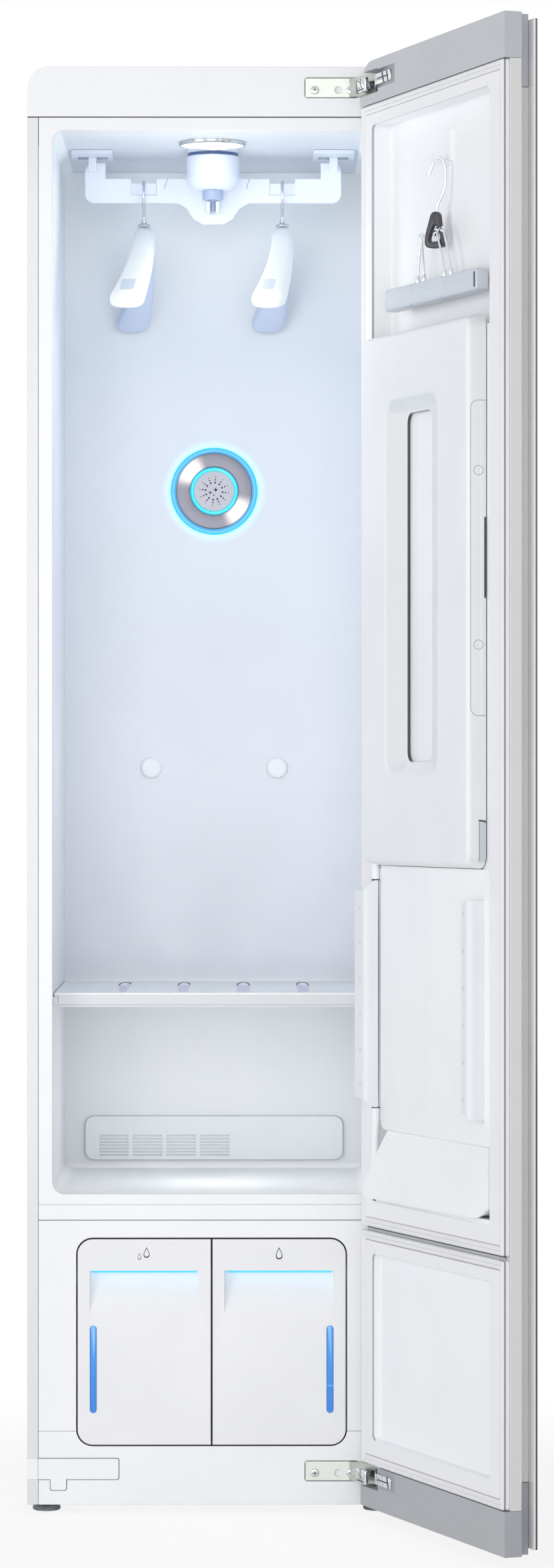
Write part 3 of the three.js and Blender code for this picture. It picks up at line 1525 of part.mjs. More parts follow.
function trouserHook() {
  const r = trouserLoop + half(trouserWire);
  const centreZ = pegZ + pegHeight + seatGap - trouserLoop;
  const points = [];
  for (let i = 0; i <= hookTurnSteps; i += 1) {
    const turn = radians(trouserTurnFrom + (trouserTurnTo - trouserTurnFrom) * (i / hookTurnSteps));
    points.push(doorPoint(doorHookS + r * Math.cos(turn), clampD, centreZ + r * Math.sin(turn)));
  }
  points.push(doorPoint(doorHookS, clampD, trouserClipTop + trouserLoop));
  points.push(doorPoint(doorHookS, clampD, trouserClipTop + seatGap));
  return wire(points, half(trouserWire), hookWireSteps);
}

function trouserClip() {
  const s = doorHookS;
  const w = half(trouserClipWidth);
  const tall = trouserClipTop - trouserClipBottom;
  const ring = outline([
    [alongDoor(s - w * clipNoseShare), trouserClipTop],
    [alongDoor(s - w), trouserClipBottom + tall * clipHipShare],
    [alongDoor(s - w * clipFootShare), trouserClipBottom], [alongDoor(s + w), trouserClipBottom],
    [alongDoor(s + w * clipNoseShare), trouserClipTop],
  ]);
  const hole = outline([
    [alongDoor(s), trouserClipTop - tall * clipHoleTopShare],
    [alongDoor(s - w * clipHoleShare), trouserClipBottom + tall * clipHoleLowShare],
    [alongDoor(s + w * clipHoleShare), trouserClipBottom + tall * clipHoleLowShare],
  ]);
  const d0 = clampD - half(trouserClipThickness);
  const d1 = clampD + half(trouserClipThickness);
  return alongY(ring, intoDoor(d1), intoDoor(d0))
    .subtract(alongY(hole, intoDoor(d1 + cutOver), intoDoor(d0 - cutOver)));
}

function trouserClamp() {
  const bar = slab(doorHookS - clampHalfWidth, doorHookS + clampHalfWidth, clampD - half(clampThickness),
    clampD + half(clampThickness), clampBottom, clampTop);
  const back = clampD - half(trouserClipThickness) - half(trouserWire) - seatGap;
  const knotZ = trouserClipBottom + half(trouserClipTop - trouserClipBottom);
  const near = half(trouserClipWidth);
  const yoke = wire([
    doorPoint(doorHookS - half(clampRodSpacing), clampD, clampTop - trouserWire),
    doorPoint(doorHookS - near - rodLean, clampD, knotZ),
    doorPoint(doorHookS - near, back, knotZ),
    doorPoint(doorHookS + near, back, knotZ),
    doorPoint(doorHookS + near + rodLean, clampD, knotZ),
    doorPoint(doorHookS + half(clampRodSpacing), clampD, clampTop - trouserWire),
  ], half(trouserWire), hookWireSteps);
  const legs = [-1, 1].map((side) => wire([
    doorPoint(doorHookS + side * (near + rodLean), clampD, knotZ),
    doorPoint(doorHookS + side * (near + half(rodLean)), clampD, half(knotZ + clampTop)),
    doorPoint(doorHookS + side * (near + half(rodLean)), clampD, clampTop - trouserWire),
  ], half(trouserWire), straightSteps));
  return union([bar, yoke, ...legs]);
}

add(door, 'trouser_hanger_hook', trouserHook(), steel);
add(door, 'trouser_hanger_clip', trouserClip(), darkClip);
add(door, 'trouser_clamp_bar', trouserClamp(), clampGrey);

// The origin is the middle of the whole part's footprint, on the floor
const product = new THREE.Group();
product.add(cabinet, door);
product.updateMatrixWorld(true);
const bounds = new THREE.Box3().setFromObject(product);
product.position.set(-half(bounds.min.x + bounds.max.x), -half(bounds.min.y + bounds.max.y), -bounds.min.z);
product.updateMatrixWorld(true);

export default product;
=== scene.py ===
"""A clothes care steam cabinet with its door open, dressed over its CAD frame.

Lengths in the functions are millimetres in the cabinet's own measures: x from the cabinet's middle, y back
from its front plane and z up from the floor. Door pieces use s along the door from its hinge edge, d inwards
from its inner face and z up. place_cabinet and place_door turn both into metres in the shared frame.
"""

import json
import math
from functools import reduce

import bmesh
import bpy
import numpy as np
from bpy.props import FloatProperty, FloatVectorProperty, IntProperty
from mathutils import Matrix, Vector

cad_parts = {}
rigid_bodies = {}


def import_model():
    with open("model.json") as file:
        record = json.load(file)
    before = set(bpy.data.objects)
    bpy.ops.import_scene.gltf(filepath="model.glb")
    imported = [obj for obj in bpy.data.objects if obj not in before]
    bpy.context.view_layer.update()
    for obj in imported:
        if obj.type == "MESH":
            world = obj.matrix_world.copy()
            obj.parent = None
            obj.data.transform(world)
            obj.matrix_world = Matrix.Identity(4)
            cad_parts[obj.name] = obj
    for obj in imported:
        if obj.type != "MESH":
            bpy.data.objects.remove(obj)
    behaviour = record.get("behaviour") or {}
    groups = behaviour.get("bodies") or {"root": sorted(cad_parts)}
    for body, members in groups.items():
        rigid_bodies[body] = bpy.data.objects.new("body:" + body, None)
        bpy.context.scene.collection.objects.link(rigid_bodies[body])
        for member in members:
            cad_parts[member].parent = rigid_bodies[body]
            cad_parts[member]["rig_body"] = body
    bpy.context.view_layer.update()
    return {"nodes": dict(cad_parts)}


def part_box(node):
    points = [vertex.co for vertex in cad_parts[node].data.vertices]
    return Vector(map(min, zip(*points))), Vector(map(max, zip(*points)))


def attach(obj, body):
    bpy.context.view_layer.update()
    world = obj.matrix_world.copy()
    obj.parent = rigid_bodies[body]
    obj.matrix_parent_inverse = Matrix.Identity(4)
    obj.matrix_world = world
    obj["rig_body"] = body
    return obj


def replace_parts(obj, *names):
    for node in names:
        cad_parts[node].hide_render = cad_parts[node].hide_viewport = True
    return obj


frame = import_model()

bl_info = {
    "name": "Clothes Care Cabinet",
    "version": (1, 0, 0),
    "blender": (4, 5, 0),
    "location": "3D Viewport > Sidebar > Care Cabinet",
    "description": "Dresses the packed model of a clothes care steam cabinet",
    "category": "Object",
}

NODES = frame["nodes"]
MM = 0.001

# The cabinet's own zero, read from its side panels and front
ZERO_X = (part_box("left_side_panel")[0].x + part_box("right_side_panel")[1].x) / (2 * MM)
ZERO_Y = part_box("front_frame")[0].y / MM

# The door stands open by this angle on a pivot in front of the cabinet's right corner
DOOR_TURN = math.radians(110)
PIVOT_X, PIVOT_Y = 216.0, -30.0
HINGE_INSET, FACE_INSET = 20.0, 22.0

# Places and sizes that several pieces share
BACK_WALL, CEILING = 440.0, 1769.0
CLEAR = 0.3                                  # small parts end this far short of the wall behind them
NOZZLE_Z = 1333.0
LAMP_Y, MOTOR_Y = 124.0, 206.0
BAY = (-172, 172, 87, 351, 20)               # x0, x1, z0, z1 and corner radius of the tanks' opening
TANK_X, GRIP_TOP = 86.3, 310.0
HANGER_Y, HANGER_NECK, HANGER_SADDLE = 248.0, 1673.0, 1730.0
SLOT_X, SLOT_STEP = 80.0, 40.0               # the shelf's four slots lie at -120, -40, 40 and 120
DOOR_MIDDLE, HANGING_D = 236.0, -9.0         # s and d of the trouser hanger's middle line

# The press cover's outline, its window and the slot in the window: s0, s1, z0, z1 and corner radius
PRESS_OUTER = (55.5, 411.0, 830.0, 1496.0, 17.0)
PRESS_WINDOW = (141.0, 308.0, 947.0, 1410.0, 22.0)
PRESS_SLOT = (186.0, 267.0, 960.0, 1391.0, 13.2)

# The camera that the photograph's perspective gives: x, y and z in millimetres, and lengths in pixels
CAMERA_PLACE = (49, -6370, 926)
FOCAL_PIXELS, PHOTO_PIXELS, SENSOR = 7468, 2351, 36

POLE = 1e-4                                  # radius of a ring that closes to a point
# Edges that turn by more degrees stay sharp: on plain forms, soft ones, round ones and wires
SMOOTH_ANGLE, SOFT_ANGLE, ROUND_ANGLE, WIRE_ANGLE = 34, 40, 50, 60


# ---------------------------------------------------------------- places

def place_cabinet(x, y, z):
    """Row frame points in metres: the cabinet's measures moved by its zero."""
    x, y, z = np.broadcast_arrays(x, y, z)
    return np.stack([x + ZERO_X, y + ZERO_Y, z], axis=-1) * MM


def place_door(s, d, z):
    """Row frame points in metres: along the door and inwards from its face, turned by its opening angle."""
    s, d, z = np.broadcast_arrays(s, d, z)
    along, out = s - HINGE_INSET, -FACE_INSET - d
    c, k = math.cos(math.pi + DOOR_TURN), math.sin(math.pi + DOOR_TURN)
    return place_cabinet(PIVOT_X + along * c - out * k, PIVOT_Y + along * k + out * c, z)


# ---------------------------------------------------------------- shader wiring

class Wire:
    """An output socket whose Python arithmetic adds Math nodes."""

    def __init__(self, recipe, socket):
        self.recipe = recipe
        self.socket = socket

    def maths(self, operation, *others):
        values = {0: self}
        values.update({i + 1: other for i, other in enumerate(others)})
        return self.recipe.node("ShaderNodeMath", {"operation": operation}, values)

    def __add__(self, other):
        return self.maths("ADD", other)

    __radd__ = __add__

    def __sub__(self, other):
        return self.maths("SUBTRACT", other)

    def __rsub__(self, other):
        return self.recipe.node("ShaderNodeMath", {"operation": "SUBTRACT"}, {0: other, 1: self})

    def __mul__(self, other):
        return self.maths("MULTIPLY", other)

    __rmul__ = __mul__

    def __truediv__(self, other):
        return self.maths("DIVIDE", other)

    def __pow__(self, other):
        return self.maths("POWER", other)

    def __abs__(self):
        return self.maths("ABSOLUTE")

    def least(self, other):
        return self.maths("MINIMUM", other)

    def most(self, other):
        return self.maths("MAXIMUM", other)

    def step(self, low, high):
        """0 below low and 1 above high, smooth between them; high may be the smaller."""
        return self.recipe.node("ShaderNodeMapRange", {"interpolation_type": "SMOOTHSTEP"},
                                {"Value": self, "From Min": low, "From Max": high})

    def band(self, low, high, soft):
        """1 between low and high, with edges as wide as soft."""
        return self.step(low - soft, low + soft) * self.step(high + soft, high - soft)


class Recipe:
    """A material in the making. The finish's own sockets hold what is the same all over. A colour may be
    given as a code, as three linear values or as a wire."""

    def __init__(self, name, colour, roughness, metallic=0.0, coat=0.0, glow=None):
        self.material = bpy.data.materials.new(name)
        self.material.use_nodes = True
        self.tree = self.material.node_tree
        self.tree.nodes.clear()
        self.out = self.tree.nodes.new("ShaderNodeOutputMaterial")
        self.shader = self.tree.nodes.new("ShaderNodeBsdfPrincipled")
        self.tree.links.new(self.shader.outputs[0], self.out.inputs[0])
        self.shader.inputs["Base Color"].default_value = (*plain_colour(colour), 1)
        self.shader.inputs["Roughness"].default_value = roughness
        self.shader.inputs["Metallic"].default_value = metallic
        self.shader.inputs["Coat Weight"].default_value = coat
        self.shader.inputs["Coat Roughness"].default_value = 0.08
        if glow:
            self.shader.inputs["Emission Color"].default_value = (*glow[0], 1)
            self.shader.inputs["Emission Strength"].default_value = glow[1]
        place = self.tree.nodes.new("ShaderNodeTexCoord").outputs["Object"]
        self.place = Wire(self, place)
        axes = self.tree.nodes.new("ShaderNodeSeparateXYZ")
        self.tree.links.new(place, axes.inputs[0])
        self.x, self.y, self.z = (Wire(self, axes.outputs[i]) for i in range(3))

    def node(self, kind, settings, values, output=0):
        """Adds a node: its settings first, then the values or wires of its sockets."""
        made = self.tree.nodes.new(kind)
        for key, value in settings.items():
            setattr(made, key, value)
        for key, value in values.items():
            if isinstance(value, Wire):
                self.tree.links.new(value.socket, made.inputs[key])
            elif isinstance(value, tuple) and len(value) == 3 and made.inputs[key].type == "RGBA":
                made.inputs[key].default_value = (*value, 1)
            else:
                made.inputs[key].default_value = value
        return Wire(self, made.outputs[output])

    def feed(self, socket, wire):
        self.tree.links.new(wire.socket, self.shader.inputs[socket])
        return self

    def noise(self, scale, detail=2.0, rough=0.5, stretch=None):
        """Noise of the given cells per metre, from 0 to 1, stretched along axes by a Mapping node."""
        where = self.place
        if stretch:
            where = self.node("ShaderNodeMapping", {}, {"Vector": self.place, "Scale": stretch})
        return self.node("ShaderNodeTexNoise", {"noise_dimensions": "3D"},
                         {"Vector": where, "Scale": scale, "Detail": detail, "Roughness": rough})

    def streaks(self, along, scale, detail):
        """Noise that changes only along the given wire, so it lies in lines across it."""
        return self.node("ShaderNodeTexNoise", {"noise_dimensions": "1D"},
                         {"W": along, "Scale": scale, "Detail": detail})

    def mix(self, factor, first, second):
        """first where factor is 0 and second where it is 1, as colours."""
        values = {0: factor, 6: plain_colour(first), 7: plain_colour(second)}
        return self.node("ShaderNodeMix", {"data_type": "RGBA"}, values, 2)

    def bump(self, height, depth, strength=1.0):
        """Relief of the given depth in metres."""
        relief = self.node("ShaderNodeBump", {}, {"Height": height, "Distance": depth, "Strength": strength})
        return self.feed("Normal", relief)

    def cabinet(self):
        """Wires of the cabinet's own x, y and z in millimetres."""
        return self.x * 1000 - ZERO_X, self.y * 1000 - ZERO_Y, self.z * 1000

    def door(self):
        """Wires of the door's s, d and z in millimetres: place_door turned back."""
        x, y, z = self.cabinet()
        c, k = math.cos(math.pi + DOOR_TURN), math.sin(math.pi + DOOR_TURN)
        across, back = x - PIVOT_X, y - PIVOT_Y
        return across * c + back * k + HINGE_INSET, across * k - back * c - FACE_INSET, z

    def paint(self, base, *layers):
        """Lays colours over the base colour, each as far as its own factor says."""
        for factor, colour in layers:
            base = self.mix(factor, base, colour)
        return self.feed("Base Color", base)

    def light(self, *layers):
        """Light of its own, laid over black in the same way."""
        glow = (0.0, 0.0, 0.0)
        for factor, colour in layers:
            glow = self.mix(factor, glow, colour)
        return self.feed("Emission Color", glow)


def apart(a, b, a_middle=0.0, b_middle=0.0):
    """Distance of the wires a, b from a point."""
    a, b = a - a_middle, b - b_middle
    return (a * a + b * b) ** 0.5


def outline_gap(a, b, a0, a1, b0, b1, radius):
    """Signed distance of the wires a, b from the edge of a rounded rectangle, less than 0 inside it."""
    across = abs(a - (a0 + a1) / 2) - ((a1 - a0) / 2 - radius)
    up = abs(b - (b0 + b1) / 2) - ((b1 - b0) / 2 - radius)
    return apart(across.most(0), up.most(0)) + across.most(up).least(0) - radius


def seam(gap, width):
    """1 on a line of the given width where gap is 0."""
    return abs(gap).step(width * 0.75, width * 0.25)


def any_of(masks):
    """1 where any of the masks is 1."""
    return reduce(Wire.most, masks)


def linear(code):
    """A colour code as linear red, green and blue."""
    parts = [int(code[i:i + 2], 16) / 255 for i in (0, 2, 4)]
    return tuple(((p + 0.055) / 1.055) ** 2.4 if p > 0.04045 else p / 12.92 for p in parts)


def plain_colour(colour):
    """A colour as the nodes take it: a code is made linear, and anything else is left alone."""
    return linear(colour) if isinstance(colour, str) else colour


def shade(colour, gain):
    """A colour made darker or lighter by a factor."""
    return tuple(min(1.0, c * gain) for c in plain_colour(colour))


# ---------------------------------------------------------------- finishes

def lacquer():
    """White lacquered sheet: a faint orange peel, slight handling marks in the gloss, a shaded front fold."""
    look = Recipe("white_lacquer", "f5f6f8", 0.3, coat=0.25)
    _, y, _ = look.cabinet()
    tone = look.mix(look.noise(6, 3).step(0.3, 0.7), "f3f4f7", "f7f8fa")
    look.paint(tone, (y.step(2.5, 0.8), "e3e4e7"))
    look.feed("Roughness", look.noise(35, 4) * 0.12 + 0.24)
    return look.bump(look.noise(900, 2), 0.00006, 0.5).material


def plastic(name, code, rough=0.4, grain=0.00006, coat=0.0, layers=None, lights=None, strength=1.0):
    """Moulded plastic: a fine spark-eroded grain and soft clouds in tone and gloss, under painted layers.
    layers and lights are functions of the recipe that give pairs of a factor and a colour."""
    look = Recipe(name, code, rough, coat=coat, glow=((0, 0, 0), strength) if lights else None)
    tone = look.mix(look.noise(9, 3).step(0.25, 0.75), shade(code, 0.985), shade(code, 1.015))
    look.paint(tone, *(layers(look) if layers else ()))
    if lights:
        look.light(*lights(look))
    look.feed("Roughness", look.noise(40, 3) * 0.14 + (rough - 0.07))
    return look.bump(look.noise(1600, 2, 0.6), grain, 0.5).material


def bright_steel(name, code, rough=0.28, stretch=(1, 1, 30), contrast=0.08):
    """Plated steel: fine drawn lines along one way, with a slightly cloudy gloss."""
    look = Recipe(name, code, rough, metallic=1.0)
    lines = look.noise(260, 3, 0.6, stretch)
    look.paint(look.mix(lines.step(0.3, 0.7), shade(code, 1 - contrast), shade(code, 1 + contrast)))
    look.feed("Roughness", look.noise(90, 3) * 0.16 + (rough - 0.08))
    return look.bump(lines, 0.00003, 0.3).material


def link_steel():
    """Polished links: bright metal with painted reflections in dark and light stripes along and across it."""
    look = Recipe("link_steel", "d6dadc", 0.16, metallic=0.9)
    s, _, z = look.door()
    painted_reflections = look.streaks(s + z * 0.4, 0.11, 2)
    # Painted reflections: the dark and light stripes are laid into the base colour.
    look.paint(look.mix(painted_reflections.step(0.53, 0.6), "dde1e3", "5d6367"))
    look.feed("Roughness", painted_reflections * 0.1 + 0.1)
    return look.bump(look.noise(300, 2), 0.00002, 0.3).material


def pocket_grey():
    """A plate painted as the shade of a pocket: dark, with painted light towards its lower right."""
    look = Recipe("pocket_grey", "5a5e62", 0.5)
    s, _, z = look.door()
    # Painted shade of the pocket, with painted light towards its lower right.
    look.paint(look.mix((s - z).step(-1765, -1715), "55595d", "9da2a7"))
    look.feed("Roughness", look.noise(80, 3) * 0.2 + 0.4)
    return look.bump(look.noise(500, 2), 0.00005, 0.4).material


def rubber():
    """Dark rubber: matt and finely pitted, a little dusty."""
    look = Recipe("dark_rubber", "7d8085", 0.75)
    look.paint(look.mix(look.noise(120, 4).step(0.35, 0.7), "6f7277", "8f9297"))
    look.feed("Roughness", look.noise(50, 3) * 0.2 + 0.65)
    return look.bump(look.noise(1400, 2), 0.0001, 0.6).material


def front_glass():
    """Dark coated glass, glossy with a faint smear, and its back and edges painted pale grey."""
    look = Recipe("front_glass", "26282b", 0.06, coat=1.0)
    _, d, _ = look.door()
    painted = d.step(-41.6, -41.2)
    look.paint(look.mix(look.noise(4, 3), "232528", "2b2d31"), (painted, "e3e4e6"))
    return look.feed("Roughness", look.noise(12, 4) * 0.06 + 0.03 + painted * 0.3).material


def front_layers(look):
    """Shaded joints of the front faces: under the top cap, beside the side panel's fold, above the lower
    fascia, round the cover over the spare hinge holes, round the hinge plates and round the tanks' bay."""
    x, y, z = look.cabinet()
    front = y.step(1.0, 0.2)
    cap = z.band(1784.9, 1786.2, 0.3)
    edge = seam(abs(x) - 222.0, 1.6)
    fold = edge * (z.band(1748, 1785, 1) * 0.7 + z.step(1785, 1784) * 0.3)
    sill = seam(z - 394.6, 1.3) * abs(x).step(222, 221)
    low = z.band(374.0, 375.4, 0.4)
    cover = outline_gap(x, z, -240, -119, 43.5, 70, 2).least(outline_gap(x, z, -206, -186, 30, 50, 2))
    rim = cover.band(-0.2, 1.1, 0.25) * y.band(-0.3, 0.3, 0.1)
    plates = outline_gap(x, abs(z - 938.5), 120, 186, 872.5, 896.5, 3).band(-0.4, 1.5, 0.2) * front
    bay = outline_gap(x, z, *BAY).band(-0.2, 1.2, 0.2) * front
    return ((front * sill * 0.55, "a6a8ad"), (front * low * 0.7, "85888e"), (front * cap, "4d5056"),
            (front * fold, "4d5056"), (rim, "8b8e94"), (plates * x.step(196, 190) * 0.8, "595c60"),
            (bay, "3b3d42"))


def on_back_wall(y):
    """1 on the garment space's back wall, for the wire y."""
    return y.step(BACK_WALL - 4, BACK_WALL - 1)


def slot_gap(x):
    """Distance of the wire x from the middle of the nearest of the shelf's four slots."""
    return abs(abs(abs(x) - SLOT_X) - SLOT_STEP)


def cavity_layers(look):
    """The garment space, with painted light: bluer towards its ceiling and side edges, greyer below its
    shelf, lighter on its upper walls and floor, bluish painted shade at the shelf's slot places, two white
    painted highlights on its floor, and a shaded rim round the vent panel."""
    x, y, z = look.cabinet()
    rise = z.step(900, 1690)
    edge = abs(x).step(150, 206) * z.step(700, 1100)
    deep = y.step(30, 120)
    panel = outline_gap(x, z, -175.5, 175.5, 420, 479, 12).band(-0.5, 1.3, 0.3) * on_back_wall(y)
    slot_shades = slot_gap(x).step(9.5, 8.5) * z.band(636, 661, 2)
    floor_highlights = (abs(x) + (y - 40) * 0.25).step(138, 146) * y.step(150, 110)
    ground = z.step(410, 408.5)
    top = z.step(1500, 1690) * z.step(CEILING - 0.4, CEILING - 1.4)
    # Painted light: bluish towards the ceiling and side edges, lighter on the upper walls and floor, and two
    # white highlights on the floor; painted shade at the shelf's slot places.
    return ((rise * deep, "d9e0ea"), (edge * 0.5, "e2e8f1"), (top, "f6fbff"), (z.step(660, 640), "e8eaee"),
            (slot_shades, "d5d7ee"), (z.step(418, 410), "f8fafb"), (ground * floor_highlights, "ffffff"),
            (panel * 0.8, "b9c1ca"))


def cavity_lights(look):
    """The blue ring's halo on the back wall: it falls off smoothly with the distance from the ring."""
    x, y, z = look.cabinet()
    near = apart(x, z, 0, NOZZLE_Z).step(78, 58) * on_back_wall(y)
    return ((near * near * 0.4, "7fdcf7"),)


def shelf_layers(look):
    """The shelf's front rail, painted a little greyer, with a painted highlight as its light top line and
    painted shade as its thin lower line, and painted shade with a dark outline at each slot's far end.
    """
    x, y, z = look.cabinet()
    rail = y.step(34, 33)
    across = slot_gap(x) / 9.0
    lift = (z - 658.6) / 4.9
    away = (across * across + lift * lift) ** 0.5
    ends = y.step(384, 392) * z.step(663.9, 663.5) * across.step(1.3, 1.2)
    # Painted highlight along the rail's top, painted shade in its lower line and at the far end of each slot.
    return ((rail, "dfe1e4"), (rail * z.step(661.4, 662.6), "fcfcfd"),
            (rail * seam(z - 648.6, 1.1), "b9bdc3"),
            (ends, "dcdeea"), (ends * away.band(0.86, 1.06, 0.05), "4c4f59"))


def trim_layers(look):
    """The door's lower cap is a darker grey than its upper one."""
    _, _, z = look.door()
    return ((z.step(200, 100), "a9abb0"),)


def ring_light():
    """Lit ring: blue with a cyan outer rim and a paler inner rim."""
    size = sizes()
    look = Recipe("blue_light", (0.01, 0.1, 0.2), 0.25, glow=((0, 0, 0), size.ring_glow), coat=0.5)
    x, _, z = look.cabinet()
    away = apart(x, z, 0, NOZZLE_Z)
    blue = tuple(size.ring_colour)
    glow = look.mix(away.step(57.2, 58.6), look.mix(look.noise(30, 2), blue, shade(blue, 1.2)), "27dcfa")
    return look.feed("Emission Color", look.mix(away.step(53.6, 52.4), glow, "6fb0dc")).material


def ring_inner_light():
    """Inner lit ring: bright cyan, a little uneven round the ring."""
    look = Recipe("inner_blue_light", (0.01, 0.15, 0.2), 0.25, glow=((0, 0, 0), sizes().ring_glow), coat=0.5)
    x, _, z = look.cabinet()
    rim = apart(x, z, 0, NOZZLE_Z).step(31.0, 32.4)
    glow = look.mix(look.noise(35, 2).step(0.4, 0.7), "10e3fb", "59eefc")
    return look.feed("Emission Color", look.mix(rim, glow, "35b4e0")).material


def ring_steel():
    """Spun steel ring: fine circular lines, and two broad painted highlights across it, where a turned face
    reflects light. A highlight's strength is the cosine of twice the angle from the line on which the two
    highlights lie."""
    look = Recipe("brushed_ring", "85858f", 0.36, metallic=0.75)
    x, _, z = look.cabinet()
    z = z - NOZZLE_Z
    away = apart(x, z)
    lean = math.radians(2 * 140)
    fan = ((x * x - z * z) * math.cos(lean) + x * z * (2 * math.sin(lean))) / (away * away)
    bright = fan.step(0.2, 1.0)
    lines = look.streaks(away, 9, 3)
    # Painted highlights: two bright lobes laid into the base colour.
    look.paint(look.mix(lines.step(0.3, 0.7), "6f6f7a", "80808a"), (bright * bright, "d4ccc8"))
    look.feed("Roughness", lines * 0.14 + 0.28)
    return look.bump(lines, 0.00003, 0.4).material


def nozzle_face():
    """Grey disc: rows of three shrinking holes round it and three small four-pointed marks at its middle, all
    sunk only by a bump and painted near black as the shade inside them.
    A hole is where the distance from its centre, in turn and in radius, is below its own radius."""
    look = Recipe("nozzle_plastic", "c3c3cc", 0.4)
    x, _, z = look.cabinet()
    z = z - NOZZLE_Z
    away = apart(x, z)
    rows = sizes().steam_holes
    turn = look.node("ShaderNodeMath", {"operation": "ARCTAN2"}, {0: z, 1: x})
    part = (turn - math.radians(83)) * (rows / (2 * math.pi)) + 100.5
    part = look.node("ShaderNodeMath", {"operation": "FRACT"}, {0: part})
    fold = (part - 0.5) * (2 * math.pi / rows) * away
    holes = [apart(fold, away, 0, ring).step(hole + 0.15, hole - 0.15)
             for ring, hole in ((11.7, 1.25), (15.6, 0.95), (19.4, 0.66))]
    marks = [((abs(x - a) / reach) ** 0.5 + (abs(z - b) / reach) ** 0.5).step(1.06, 0.94)
             for a, b, reach in ((2.2, 1.8, 4.4), (-5.4, -2.1, 3.3), (-0.5, -5.5, 2.1))]
    dark = any_of(holes + marks)
    # Painted shade: the holes and marks near black.
    look.paint(look.mix(look.noise(60, 3), "bcbcc6", "cbcbd3"), (dark, "17181c"))
    look.feed("Roughness", look.noise(80, 3) * 0.14 + 0.34)
    return look.bump(1 - dark, 0.0008, 0.8).material


def carriage_layers(look):
    """Two short curved slit marks below the carriage's top edge, painted a shaded blue as the shade inside
    them.
    """
    x, y, z = look.cabinet()
    drop = (1736 - z) / 13
    slit_shades = any_of(seam(x - middle - (1 - drop) * (1 - drop) * (4 * way), 1.6) * drop.step(1.1, 0.9)
                   for middle, way in ((-64, 1), (45, 1)))
    # Painted shade: the slit marks in a shaded blue.
    return ((slit_shades * y.step(246, 242) * z.step(1719, 1722), "9fb2d2"),)


def hanger_layers(look):
    """The far arm is painted bluer than the near one as painted shade, and a pale plate is let into the near
    one.
    """
    x, y, z = look.cabinet()
    lean = (1590 - z) * 0.5
    plates = any_of(outline_gap(x + lean * 0.4, z, left, right, 1573, 1589, 2.5).step(0.4, -0.4)
                    * y.step(150, 145) for left, right in ((-117, -99), (66, 83)))
    # Painted shade: the far arm bluer than the near one.
    return ((y.step(250, 262), "cdd9f0"), (plates, "d5e0ee"))


def grip(look):
    """The mask of the tanks' grip recesses, and the distance from the middle of the nearest tank."""
    x, y, z = look.cabinet()
    inside = y.step(0.3, 1.2) * z.step(GRIP_TOP + 0.5, GRIP_TOP - 0.5)
    return inside, abs(abs(x) - TANK_X)


def tank_layers(look):
    """Pale blue painted light in the grip recess, strongest under its top edge, and painted shade as a dark
    joint round the tank fronts.
    """
    x, y, z = look.cabinet()
    inside, across = grip(look)
    painted_strip_light = inside * z.step(GRIP_TOP - 52, GRIP_TOP - 4)
    rim = outline_gap(x, z, *BAY).step(-1.0, -0.6).most(abs(x).step(1.5, 1.1)) * y.step(6, 5)
    strip = inside * across.step(69, 65) * z.step(GRIP_TOP - 3.8, GRIP_TOP - 3.2)
    # Painted shade in the joint round the fronts, and painted light in the recess under the lit strip.
    return ((rim, "3b3d42"), (painted_strip_light * 0.8, "e8f2fb"), (strip, "38cde6"))


def tank_lights(look):
    """The light strip under the grip's top edge, and its faint blue light below it."""
    _, _, z = look.cabinet()
    inside, across = grip(look)
    return ((inside * z.step(GRIP_TOP - 30, GRIP_TOP) * 0.07, "b4dcf8"),
            (inside * across.step(69, 64) * z.step(GRIP_TOP - 3.8, GRIP_TOP - 2.8) * 0.6, "14b6d6"))


def window_blue():
    """Lit level window: bright blue at its top, deeper below, with dark edges and a level line at right."""
    look = Recipe("level_window", (0.01, 0.09, 0.22), 0.16, coat=0.6, glow=((0, 0, 0), 0.8))
    x, _, z = look.cabinet()
    body = look.mix(z.step(128, 240), "2a74d6", "2f93e6")
    glow = look.mix(abs(abs(x) - 151.5).step(2.6, 4.2), body, "1d5fae")
    level = seam(z - 163, 1.4) * x.step(0, 1)
    look.feed("Emission Color", look.mix(level * 0.6, glow, "8ccdfb"))
    return look.feed("Roughness", look.noise(60, 2) * 0.1 + 0.12).material


def tray_layers(look):
    """Soft upright streaks on the pressing board, a faint line of painted shade down the leg panel standing
    for a raised line, a greyer rim round the two recesses, and a dark line of painted shade along their left
    edges and, at half strength, the upper one's top edge."""
    s, d, z = look.door()
    board = d.step(-11, -9)
    leg = s.band(90, 395, 2) * z.band(500, 826, 2)
    press = s.band(100, 380, 3) * z.band(860, 1470, 3)
    gap = outline_gap(s, z, 38, 424, 101, 337, 8).least(outline_gap(s, z, 38, 424, 404, 1768, 8))
    shaded = s.step(52, 44).most(z.step(1740, 1760) * 0.5)
    # Painted shade: a line along the recesses' left edges, at half strength along the upper one's top, and a
    # faint line down the leg panel.
    line = gap.band(-2.2, 0.2, 0.4) * d.band(-5.5, -2.1, 0.4) * shaded
    ridge_shade = seam(s - 223, 3) * leg
    streak = look.streaks(s, 0.035, 1).step(0.35, 0.6)
    return ((gap.step(0.2, 0.8), "f1f1f4"), (line, "a7a9ae"), (ridge_shade * board * 0.3, "e4e7eb"),
            (streak * board * press * 0.5, "dde3ea"))


def pad_layers(look):
    """Faint upright streaks on the pressing pad."""
    s, _, _ = look.door()
    return ((look.streaks(s, 0.12, 2).step(0.4, 0.7) * 0.25, "e9edf1"),)


